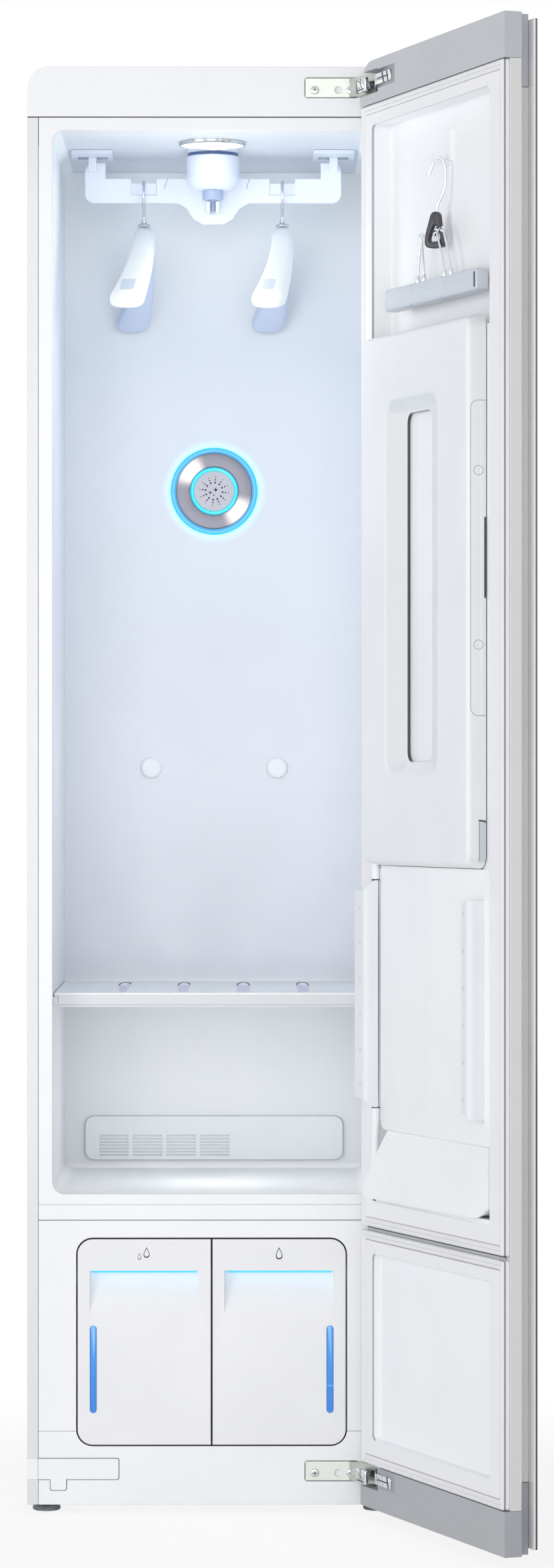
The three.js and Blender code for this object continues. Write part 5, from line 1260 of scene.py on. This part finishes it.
class CARE_OT_hinges(PieceOperator, bpy.types.Operator):
    """Hinge plates on the cabinet and hinge leaves on the door, with their screws, pins and links"""
    bl_idname = "care.hinges"
    bl_label = "Hinges"

    def build(self, size):
        for hinge, low in (("upper", 1811), ("lower", 42)):
            plate, leaf = "hinge_plate_" + hinge, "hinge_leaf_" + hinge
            refine(plate, "galvanised_steel", 0.35)
            refine(leaf, "chrome", 0.7)
            self.screws(plate, f"hinge_{hinge}_", low)
            self.links(leaf, f"hinge_{hinge}_", low)

    def screws(self, node, hinge, low):
        """On the plate: two cross-head screws, whose crosses are thin dark plates painted as the shade in
        their recesses, and the web out to the pin's two heads.
        """
        places, z = (132.0, 178.0), low + 9.12
        heads = [dome("head", x, z, 5.4, 0.1, -0.9, place_cabinet, 28) for x in places]
        slot_shades = [cross_slot("slot", x, z, 2.7, 0.95, -0.7, -0.98, place_cabinet) for x in places]
        pins = [rod("pin", (PIVOT_X, PIVOT_Y), low + start, low + start + 8, 8.6, 0.6, place_cabinet)
                for start in (-0.3, 16.3)]
        web = np.array([(177, -0.3), (187.4, -0.3), (208.5, -20.5), (199.5, -23.5)], float)
        web = np.stack([place_cabinet(web[:, 0], web[:, 1], z) for z in (low + 7.3, low + 16.7)])
        screws = joined(hinge + "screws", [*heads, *pins, loft("web", web)])
        fitting(node, screws, "chrome")
        # The screws' crosses: thin dark plates of painted shade.
        fitting(node, joined(hinge + "screw_slots", slot_shades), "dark_plastic")

    def links(self, node, hinge, low):
        """On the leaf: a thin plate painted as the shaded pocket in the door's cap, and a thick and a thin
        link with a boss, with thin dark plates in the gap between them as painted shade.
        """
        # A thin plate on the cap, painted as the shade in the hinge's pocket.
        pocket = soft_block(hinge + "pocket", 60, 119, low + 1, low + 25, -1.3, -0.75, 1, 0.2, place_door)
        fitting(node, pocket, "pocket_grey")
        metal = [soft_block("thick", 0.5, 34, low + 1, low + 19, 0.4, 5.6, 3, 1.4, place_door),
                 soft_block("thin", 57.5, 110, low + 5, low + 19, -0.7, 1.6, 2.5, 0.9, place_door),
                 soft_block("boss", 14, 26, low + 7, low + 15, 5.5, 6.6, 1.5, 0.4, place_door)]
        fitting(node, joined(hinge + "links", metal), "link_steel")
        # Thin dark plates: painted shade in the gaps of the links.
        gaps = [soft_block("gap", 5, 30, low + 3.4, low + 5, 5.5, 5.72, 0.8, 0.05, place_door),
                soft_block("gap", 66, 104, low + 11.2, low + 13, 1.5, 1.72, 0.8, 0.05, place_door)]
        fitting(node, joined(hinge + "gaps", gaps), "dark_plastic")


class CARE_OT_door(PieceOperator, bpy.types.Operator):
    """Door: dark glass, edge profile, caps, seals and moulded trays"""
    bl_idname = "care.door"
    bl_label = "Door"

    def build(self, size):
        refine("door_glass", "front_glass", 0.5)
        refine("door_frame", "edge_profile", 0.6)
        for cap in ("door_top_cap", "door_bottom_cap"):
            refine(cap, "grey_trim", 0.9)
        lugs = [(38, 55, -28, 20, *heights) for heights in ((1465, 1520), (812, 853))]
        stubs = [(s - 6, s + 6, -28, 1, *heights)
                 for s in (68, 408) for heights in ((796.6, 812), (515, 530))]
        refine("door_tray_upper", "tray_plastic", 1.3, without=lugs + stubs)
        refine("door_tray_lower", "tray_plastic", 1.3)
        self.seal("gasket_upper", 370.5, 1794.5)
        self.seal("gasket_lower", 68.5, 365.5)
        # A grey strip in the gap between the seals, as its shade, painted darker under the upper seal.
        strip = soft_block("door_split_strip", 14, 458, 365, 371, -9.6, -6.0, 1, 0.3, place_door)
        fitting("door_tray_upper", strip, "split_grey")

    def seal(self, node, low, high):
        """A profile of two soft lips, as (inset, depth) pairs, carried round its part of the door."""
        lips = ((0.4, -9.7), (0.1, -7.2), (0.9, -5.6), (0.1, -4.0), (0.6, -1.9), (1.9, -0.5), (3.6, -0.1),
                (5.0, -0.4), (5.9, -1.1), (6.2, -2.0), (6.5, -1.2), (7.5, -0.7), (9.3, -0.6), (10.9, -1.3),
                (11.8, -3.0), (11.9, -9.7))
        stand_in(node, carried_profile(node + "_form", 4, 468, low, high, 3.5, lips, place_door), "soft_seal")


class CARE_OT_press(PieceOperator, bpy.types.Operator):
    """Trouser press cover with its latch"""
    bl_idname = "care.press"
    bl_label = "Trouser press"

    def build(self, size):
        stand_in("press_cover", self.cover(), "press_plastic")
        latch = soft_block("press_latch_form", -2.9, 4, 1014.5, 1391.5, -1.6, 0.3, 3, 0.3, self.beside_wall)
        stand_in("press_latch", latch, "press_plastic")
        pad = soft_block("press_pad", 176, 277, 951, 1400, -8.4, 4.0, 6, 2.5, place_door)
        fitting("door_tray_upper", pad, "pad_plastic")

    def cover(self):
        """A hollow cover: rounded rectangles from its back rim up the tapered side, round the front edge,
        across the face, down the funnel of the window and back along the inside."""
        outer, window, slot = PRESS_OUTER, PRESS_WINDOW, PRESS_SLOT
        turn = quarter_turn(7)
        rows = [(outer, 0, -3), (outer, 2.5, 11.5)]
        rows += [(outer, 2.6 + 7.5 * (1 - math.cos(t)), 12 + 8 * math.sin(t)) for t in turn]
        rows += [(outer, 18, 20), (window, -8, 20)]
        rows += [(window, -3.4 * math.cos(t) + 0.4, 20 - 1.8 * (1 - math.cos(t))) for t in turn]
        rows += [(slot, -2.4, 8.9), (slot, -0.7, 8.1), (slot, 0, 7.2), (slot, 0, 5), (slot, -3.5, 5),
                 (window, -2.6, 16.6), (outer, 13, 16.6), (outer, 6, 11), (outer, 3, -3)]
        spans = [(a0 + e, a1 - e, b0 + e, b1 - e, max(radius - e * 0.55, 4.0), d)
                 for (a0, a1, b0, b1, radius), e, d in rows]
        return loft("press_cover_form", pad_rings(spans, place_door, 10), torus=True)

    def beside_wall(self, d, proud, z):
        """Door points that stand proud of the cover's tapered side at the latch edge."""
        return place_door(PRESS_OUTER[1] - (d + 3) * (2.5 / 14.5) + proud, d, z)


class CARE_OT_wings(PieceOperator, bpy.types.Operator):
    """Folding leg wings and the slanted deflector below the press"""
    bl_idname = "care.wings"
    bl_label = "Leg wings"

    def build(self, size):
        self.wing("wing_left", self.left_flap(), 55.0)
        self.wing("wing_right", self.right_flap(), 396.0)
        blocks = (("low", 66, 440, 496, 828, -28.6, -2.3, 14, 2.5),
                  ("high", 70, 440, 813, 829.4, -28.5, -2.5, 0.3, 0.1),
                  ("side", 398, 440, 828, 1484, -28.4, -4.6, 0.3, 0.1),
                  ("foot", 44, 440, 402, 410, -28.4, -4.2, 0.3, 0.1),
                  ("root", 60, 70, 508, 826, -28.3, -2.9, 0.3, 0.1))
        panel = joined("leg_panel", [soft_block(*block, place_door) for block in blocks])
        fitting("door_tray_upper", panel, "tray_plastic")
        self.posts("wing_posts", ((425, 523.2), (812.4, 834)), 5.3, "inner_plastic")
        # Thin dark rings between the post's lengths: painted shade in the gap.
        self.posts("wing_post_gaps", ((522.6, 524.4), (811, 813)), 4.9, "dark_plastic")
        stand_in("deflector", self.deflector(), "tray_plastic")

    def wing(self, node, flap, s):
        """A bent flap with a row of six round pegs."""
        stand_in(node, flap, "flap_plastic", 0.8)
        pegs = [dome("peg", s, z, 2.3, 19.6, 21.2, place_door, 14) for z in np.linspace(552, 776, 6)]
        fitting(node, joined(node + "_pegs", pegs), "peg_plastic")

    def posts(self, name, heights, radius, finish):
        """Lengths of the round post on which the left flap seems to turn, or the thin dark rings of painted
        shade in the gap between them.
        """
        lengths = [rod("post", (62, 2.2), low, high, radius, 0.4, place_door) for low, high in heights]
        fitting("door_tray_upper", joined(name, lengths), finish)

    def left_flap(self):
        """A flat face that bends down to the board: its top rises and its foot drops towards the root, by the
        eased share of the way seen from the front."""
        outer = smooth_path([(35, 20), (48, 20), (60, 20), (65, 18.6), (67.6, 14.5), (68.6, 9), (69, 5),
                             (69.3, 1.8)], 5)
        inner = smooth_path([(35, 17), (48, 17), (58.5, 17), (62.5, 15.8), (64.8, 12), (65.6, 7.5), (66, 3),
                             (66.4, 0.5)], 5)
        across = outer[:, 0] * 0.342 - outer[:, 1] * 0.94
        low, high = 536 - 11.5 * eased(across, -2, 18), 798 + 13 * eased(across, 0, 19)
        return bent_sheet("wing_left_form", outer, inner, low, high)

    def right_flap(self):
        """The same for the flap beside the latch edge, whose free end is a little shorter than its root."""
        outer = smooth_path([(388, 20), (396, 20), (403, 20), (407.5, 18), (409.3, 13), (409.5, 5),
                             (409.5, -5)], 5)
        inner = smooth_path([(388, 17), (396, 17), (402, 17), (405, 15.5), (406.3, 12), (406.5, 5),
                             (406.5, -5)], 5)
        low, high = 537 - 9 * eased(outer[:, 0], 392, 409), 788 + 5 * eased(outer[:, 0], 390, 404)
        return bent_sheet("wing_right_form", outer, inner, low, high)

    def deflector(self):
        """Sections across the width, each a slanted face with a lip, flatter towards the right: the lower
        edge rises round a quarter ellipse at the right, and the left end is cut off along a slope."""
        s = np.concatenate([np.linspace(42.3, 94, 14), np.linspace(108, 370, 12),
                            383 + 39.9 * np.sin(np.linspace(0.1, math.pi / 2, 12))])
        share = (s - 42) / 381
        right = np.clip((s - 383) / 40.2, 0, 1)
        low = 420.4 - 10 * eased(s, 42, 62) + 14 * (1 - np.sqrt(1 - right ** 2))
        high = np.minimum(496.5 - 0.5 * right ** 2, 424 + np.maximum(s - 42, 0) / 52 * 72.5)
        high = np.maximum(high, low + 2)
        t = np.linspace(0, 1, 14)[None, :]
        z_face = high[:, None] * (1 - t) + low[:, None] * t
        drop = (496.7 - z_face) / 90
        d_face = -1.6 + (18.6 - 11.5 * share[:, None]) * (drop + 0.05 * np.sin(2 * math.pi * drop))
        edge, root = d_face[:, -1], np.full_like(s, -28.4)
        z_back = np.minimum(np.stack([low, low + 2.6, low + 3, high], 1), high[:, None])
        d_back = np.stack([edge - 2.6, np.minimum(-4, edge - 4), root, root], 1)
        d_all, z_all = np.concatenate([d_face, d_back], 1), np.concatenate([z_face, z_back], 1)
        return loft("deflector_form", place_door(s[:, None], d_all, z_all), ROUND_ANGLE)


class CARE_OT_trousers(PieceOperator, bpy.types.Operator):
    """Trouser hanger: wire hook, dark clip and clamp bar"""
    bl_idname = "care.trousers"
    bl_label = "Trouser hanger"

    def build(self, size):
        path = [(-9.5, 1681), (-6, 1690), (-1.5, 1699.5), (4, 1703.4), (10, 1700.5), (13.4, 1691),
                (13.6, 1671), (10.5, 1659), (5, 1649), (2.2, 1642), (2, 1634)]
        path = smooth_path([self.turned_place(DOOR_MIDDLE + a, HANGING_D, z) for a, z in path], 8)
        hook = tube("trouser_hook_wire", path, 1.7, 14)
        stand_in("trouser_hanger_hook", hook, "wire_steel")
        stand_in("trouser_hanger_clip", self.clip(), "dark_plastic")
        stand_in("trouser_clamp_bar", self.bar(), "clamp_plastic")
        fitting("trouser_clamp_bar", self.wires(), "wire_steel")
        # A thin dark plate at the bar's end: painted shade in its slot.
        slot = soft_block("clamp_end_slot", 378.6, 382.6, 1530.5, 1549.5, -0.6, 0.06, 1.6, 0.25, place_door)
        fitting("trouser_clamp_bar", slot, "dark_plastic")

    def clip(self):
        """Snap clip: a tapered ring round a slanted opening, from two outlines of rounded corners."""
        outer = self.rounded([(232, 1637), (242.5, 1637), (243.5, 1622), (248, 1612), (250.6, 1600),
                              (249, 1592.5), (227, 1591.6), (222, 1597), (223.5, 1610), (228.5, 1626)], 96)
        inner = self.rounded([(237.5, 1621), (240.5, 1615), (244.5, 1605), (244, 1600.5), (231, 1599.5),
                              (228, 1602.5), (230.5, 1611), (234.5, 1621)], 96)
        return ring_plate("trouser_clip_form", outer, inner, -13.3, -4.7, 1.2, self.turned_place, ROUND_ANGLE)

    def turned_place(self, s, d, z):
        """Door points of the hook and clip, which hang turned by 40 degrees about their own middle line."""
        across, out = s - DOOR_MIDDLE, d - HANGING_D
        c, k = math.cos(math.radians(40)), math.sin(math.radians(40))
        return place_door(DOOR_MIDDLE + across * c + out * k, HANGING_D - across * k + out * c, z)

    def rounded(self, corners, count):
        """A closed smooth outline near the corners: each round cuts every corner at a quarter of its two
        sides, and the result is resampled by its own length."""
        p = np.asarray(corners, float)
        for _ in range(3):
            after = np.roll(p, -1, 0)
            p = np.stack([p * 0.75 + after * 0.25, p * 0.25 + after * 0.75], 1).reshape(-1, 2)
        closed = np.concatenate([p, p[:1]])
        way = np.concatenate([[0], np.cumsum(np.linalg.norm(np.diff(closed, axis=0), axis=1))])
        at = np.linspace(0, way[-1], count, endpoint=False)
        return np.stack([np.interp(at, way, closed[:, i]) for i in range(2)], 1)

    def bar(self):
        """Three lengths of one bar with soft corners, a hairline apart."""
        lengths = [soft_block("length", s0, s1, 1526, 1554, -17.4, -0.6, 4.5, 2.2, place_door)
                   for s0, s1 in ((87, 174.6), (175.4, 274.6), (275.4, 385))]
        return joined("clamp_bar_form", lengths, SOFT_ANGLE)

    def wires(self):
        """Four rods from ferrules on the bar up to the cross wire that runs behind the clip, three knots on
        it, each a circle that waves in and out twice, and the cross wire itself."""
        parts = []
        ferrule = [(POLE, 1554), (3.1, 1554), (3.3, 1555), (2.9, 1562.5), (2.1, 1563.5), (POLE, 1563.5)]
        for foot, head in ((-58, -46), (-38, -46), (29, 3), (50, 25)):
            bend = foot * 0.7 + head * 0.3
            path = self.hung([(foot, 0, 1552), (foot, 0, 1562), (bend, 0, 1580), (head, 0, 1613)])
            parts.append(tube("rod", smooth_path(path, 6), 1.5, 12))
            parts.append(turned("ferrule", ferrule, (DOOR_MIDDLE + foot, HANGING_D), "z", place_door, 16))
        for middle, reach in ((-46, 4.6), (3, 4.2), (25, 4.2)):
            turn = np.linspace(0, 2 * math.pi, 28, endpoint=False)
            knot = [(middle + reach * math.cos(t), 2.0 * math.sin(2 * t), 1613.5 + 2.6 * math.sin(t))
                    for t in turn]
            parts.append(tube("knot", self.hung(knot), 1.15, 10, closed=True))
        cross = self.hung([(-46, 0, 1613), (-24, -3, 1611), (-4, -1, 1608), (3, 0, 1610), (14, -1, 1616),
                           (25, 0, 1613)])
        parts.append(tube("cross", smooth_path(cross, 8), 1.4, 12))
        return joined("clamp_wires", parts, ROUND_ANGLE)

    def hung(self, points):
        """Door points from places across and in front of the trouser hanger's middle line."""
        return [place_door(DOOR_MIDDLE + across, HANGING_D + out, z) for across, out, z in points]


# ---------------------------------------------------------------- stage, list and start

def lamp(name, kind, power, where, aim, extent, colour=(1, 1, 1)):
    """A studio lamp of the given watts at a place, aimed at a point, both in metres."""
    data = bpy.data.lights.new(name, kind)
    data.energy = power
    data.color = colour
    if kind == "AREA":
        data.shape = "RECTANGLE"
        data.size, data.size_y = extent
    else:
        data.shadow_soft_size = extent
    thing = bpy.data.objects.new(name, data)
    bpy.context.scene.collection.objects.link(thing)
    thing.location = where
    way = np.subtract(aim, where)
    flat = math.hypot(way[0], way[1])
    thing.rotation_euler = (math.pi / 2 + math.atan2(way[2], flat), 0, math.atan2(-way[0], way[1]))
    return thing


class CARE_OT_stage(PieceOperator, bpy.types.Operator):
    """Pale floor, soft studio lamps, white surroundings and the camera at the photograph's angle"""
    bl_idname = "care.stage"
    bl_label = "Stage"

    def build(self, size):
        scene = bpy.context.scene
        scene.view_settings.view_transform = "Standard"
        self.floor()
        self.surroundings(scene)
        self.softboxes(size.studio_level)
        self.bulbs(size.lamp_power)
        self.camera(scene)

    def softboxes(self, level):
        """Wide soft lamps in front of the cabinet: name, watts, place, aim and extent."""
        boxes = (("front_softbox", 72, (-0.5, -6.0, 1.15), (0.0, 0.2, 0.95), (2.6, 2.6)),
                 ("left_softbox", 72, (-3.7, -3.5, 1.4), (0.1, -0.1, 0.95), (2.4, 2.8)),
                 ("right_softbox", 16, (3.0, -4.4, 1.6), (0.0, 0.0, 0.95), (2.2, 2.6)))
        for name, watts, where, aim, extent in boxes:
            lamp(name, "AREA", watts * level, where, aim, extent)

    def bulbs(self, power):
        """Soft warm bulbs in the garment space, unseen themselves: name, y, z and share of the power."""
        places = (("high", 60, 1560, 0.39), ("upper", 150, 1330, 0.175), ("middle", 150, 960, 0.185),
                  ("low", 190, 520, 0.2))
        for name, y, z, share in places:
            bulb = lamp(f"garment_space_{name}", "POINT", power * share, place_cabinet(0, y, z).tolist(),
                        (0, 0, 0), 0.06, (1.0, 0.995, 0.97))
            bulb.visible_camera = bulb.visible_glossy = False

    def camera(self, scene):
        """The camera at the photograph's angle: its lens is the sensor's height times the focal length in
        pixels over the picture's height in pixels."""
        view = bpy.data.cameras.new("camera")
        view.sensor_fit = "VERTICAL"
        view.sensor_height = SENSOR
        view.lens = SENSOR * FOCAL_PIXELS / PHOTO_PIXELS
        camera = bpy.data.objects.new("camera", view)
        scene.collection.objects.link(camera)
        camera.location = place_cabinet(*CAMERA_PLACE).tolist()
        camera.rotation_euler = (math.radians(90.058), 0, math.radians(-0.311))
        scene.camera = camera

    def floor(self):
        """A wide square half a millimetre below the feet."""
        corners = np.array([[-9, -9, 0], [9, -9, 0], [9, 9, 0], [-9, 9, 0]], float) - [0, 0, 0.0005]
        mesh = mesh_of("floor", corners, [[0, 1, 2, 3]])
        mesh.materials.append(self.ground())
        sheet = bpy.data.objects.new("floor", mesh)
        bpy.context.scene.collection.objects.link(sheet)

    def ground(self):
        """A matt white floor. Seen by the camera it is mostly the background's white, under its shadows."""
        look = Recipe("floor_paper", (0.9, 0.9, 0.9), 0.9)
        paper = look.tree.nodes.new("ShaderNodeEmission")
        paper.inputs["Strength"].default_value = 1.0
        blend = look.tree.nodes.new("ShaderNodeMixShader")
        path = look.tree.nodes.new("ShaderNodeLightPath")
        seen = Wire(look, path.outputs["Is Camera Ray"]).most(Wire(look, path.outputs["Is Glossy Ray"]))
        away = (look.x * look.x + look.y * look.y) ** 0.5
        look.tree.links.new((seen * (away.step(0.45, 1.3) * 0.15 + 0.85)).socket, blend.inputs[0])
        look.tree.links.new(look.shader.outputs[0], blend.inputs[1])
        look.tree.links.new(paper.outputs[0], blend.inputs[2])
        look.tree.links.new(blend.outputs[0], look.out.inputs[0])
        return look.material

    def surroundings(self, scene):
        """A world that lights softly, and is plain white where the camera, gloss or glass looks at it."""
        world = bpy.data.worlds.new("studio_world")
        scene.world = world
        world.use_nodes = True
        tree = world.node_tree
        tree.nodes.clear()
        out = tree.nodes.new("ShaderNodeOutputWorld")
        soft, white = (tree.nodes.new("ShaderNodeBackground") for _ in range(2))
        soft.inputs[0].default_value = (0.97, 0.98, 1.0, 1)
        soft.inputs[1].default_value = 0.46
        white.inputs[0].default_value = (1, 1, 1, 1)
        path = tree.nodes.new("ShaderNodeLightPath")
        seen = None
        for name in ("Is Glossy Ray", "Is Transmission Ray"):
            most = tree.nodes.new("ShaderNodeMath")
            most.operation = "MAXIMUM"
            tree.links.new(seen or path.outputs["Is Camera Ray"], most.inputs[0])
            tree.links.new(path.outputs[name], most.inputs[1])
            seen = most.outputs[0]
        blend = tree.nodes.new("ShaderNodeMixShader")
        tree.links.new(seen, blend.inputs[0])
        tree.links.new(soft.outputs[0], blend.inputs[1])
        tree.links.new(white.outputs[0], blend.inputs[2])
        tree.links.new(blend.outputs[0], out.inputs[0])


OPERATORS = (CARE_OT_shell, CARE_OT_cavity, CARE_OT_nozzle, CARE_OT_ceiling, CARE_OT_hangers, CARE_OT_tanks,
             CARE_OT_machinery, CARE_OT_hinges, CARE_OT_door, CARE_OT_press, CARE_OT_wings, CARE_OT_trousers,
             CARE_OT_stage)


class CARE_PT_panel(bpy.types.Panel):
    """Sidebar list of the cabinet's pieces"""
    bl_idname = "CARE_PT_panel"
    bl_label = "Care Cabinet"
    bl_space_type = "VIEW_3D"
    bl_region_type = "UI"
    bl_category = "Care Cabinet"

    def draw(self, context):
        for name in CareCabinetSizes.__annotations__:
            self.layout.prop(context.scene.care_cabinet, name)
        for operator in OPERATORS:
            self.layout.operator(operator.bl_idname)


def register():
    """Makes the sizes, the operators and the panel known to Blender."""
    for item in (CareCabinetSizes, *OPERATORS, CARE_PT_panel):
        bpy.utils.register_class(item)
    bpy.types.Scene.care_cabinet = bpy.props.PointerProperty(type=CareCabinetSizes)


def unregister():
    """Takes them away again."""
    del bpy.types.Scene.care_cabinet
    for item in (CARE_PT_panel, *reversed(OPERATORS), CareCabinetSizes):
        bpy.utils.unregister_class(item)


def main():
    register()
    for operator in OPERATORS:
        group, name = operator.bl_idname.split(".")
        getattr(getattr(bpy.ops, group), name)()


if __name__ == "__main__":
    main()
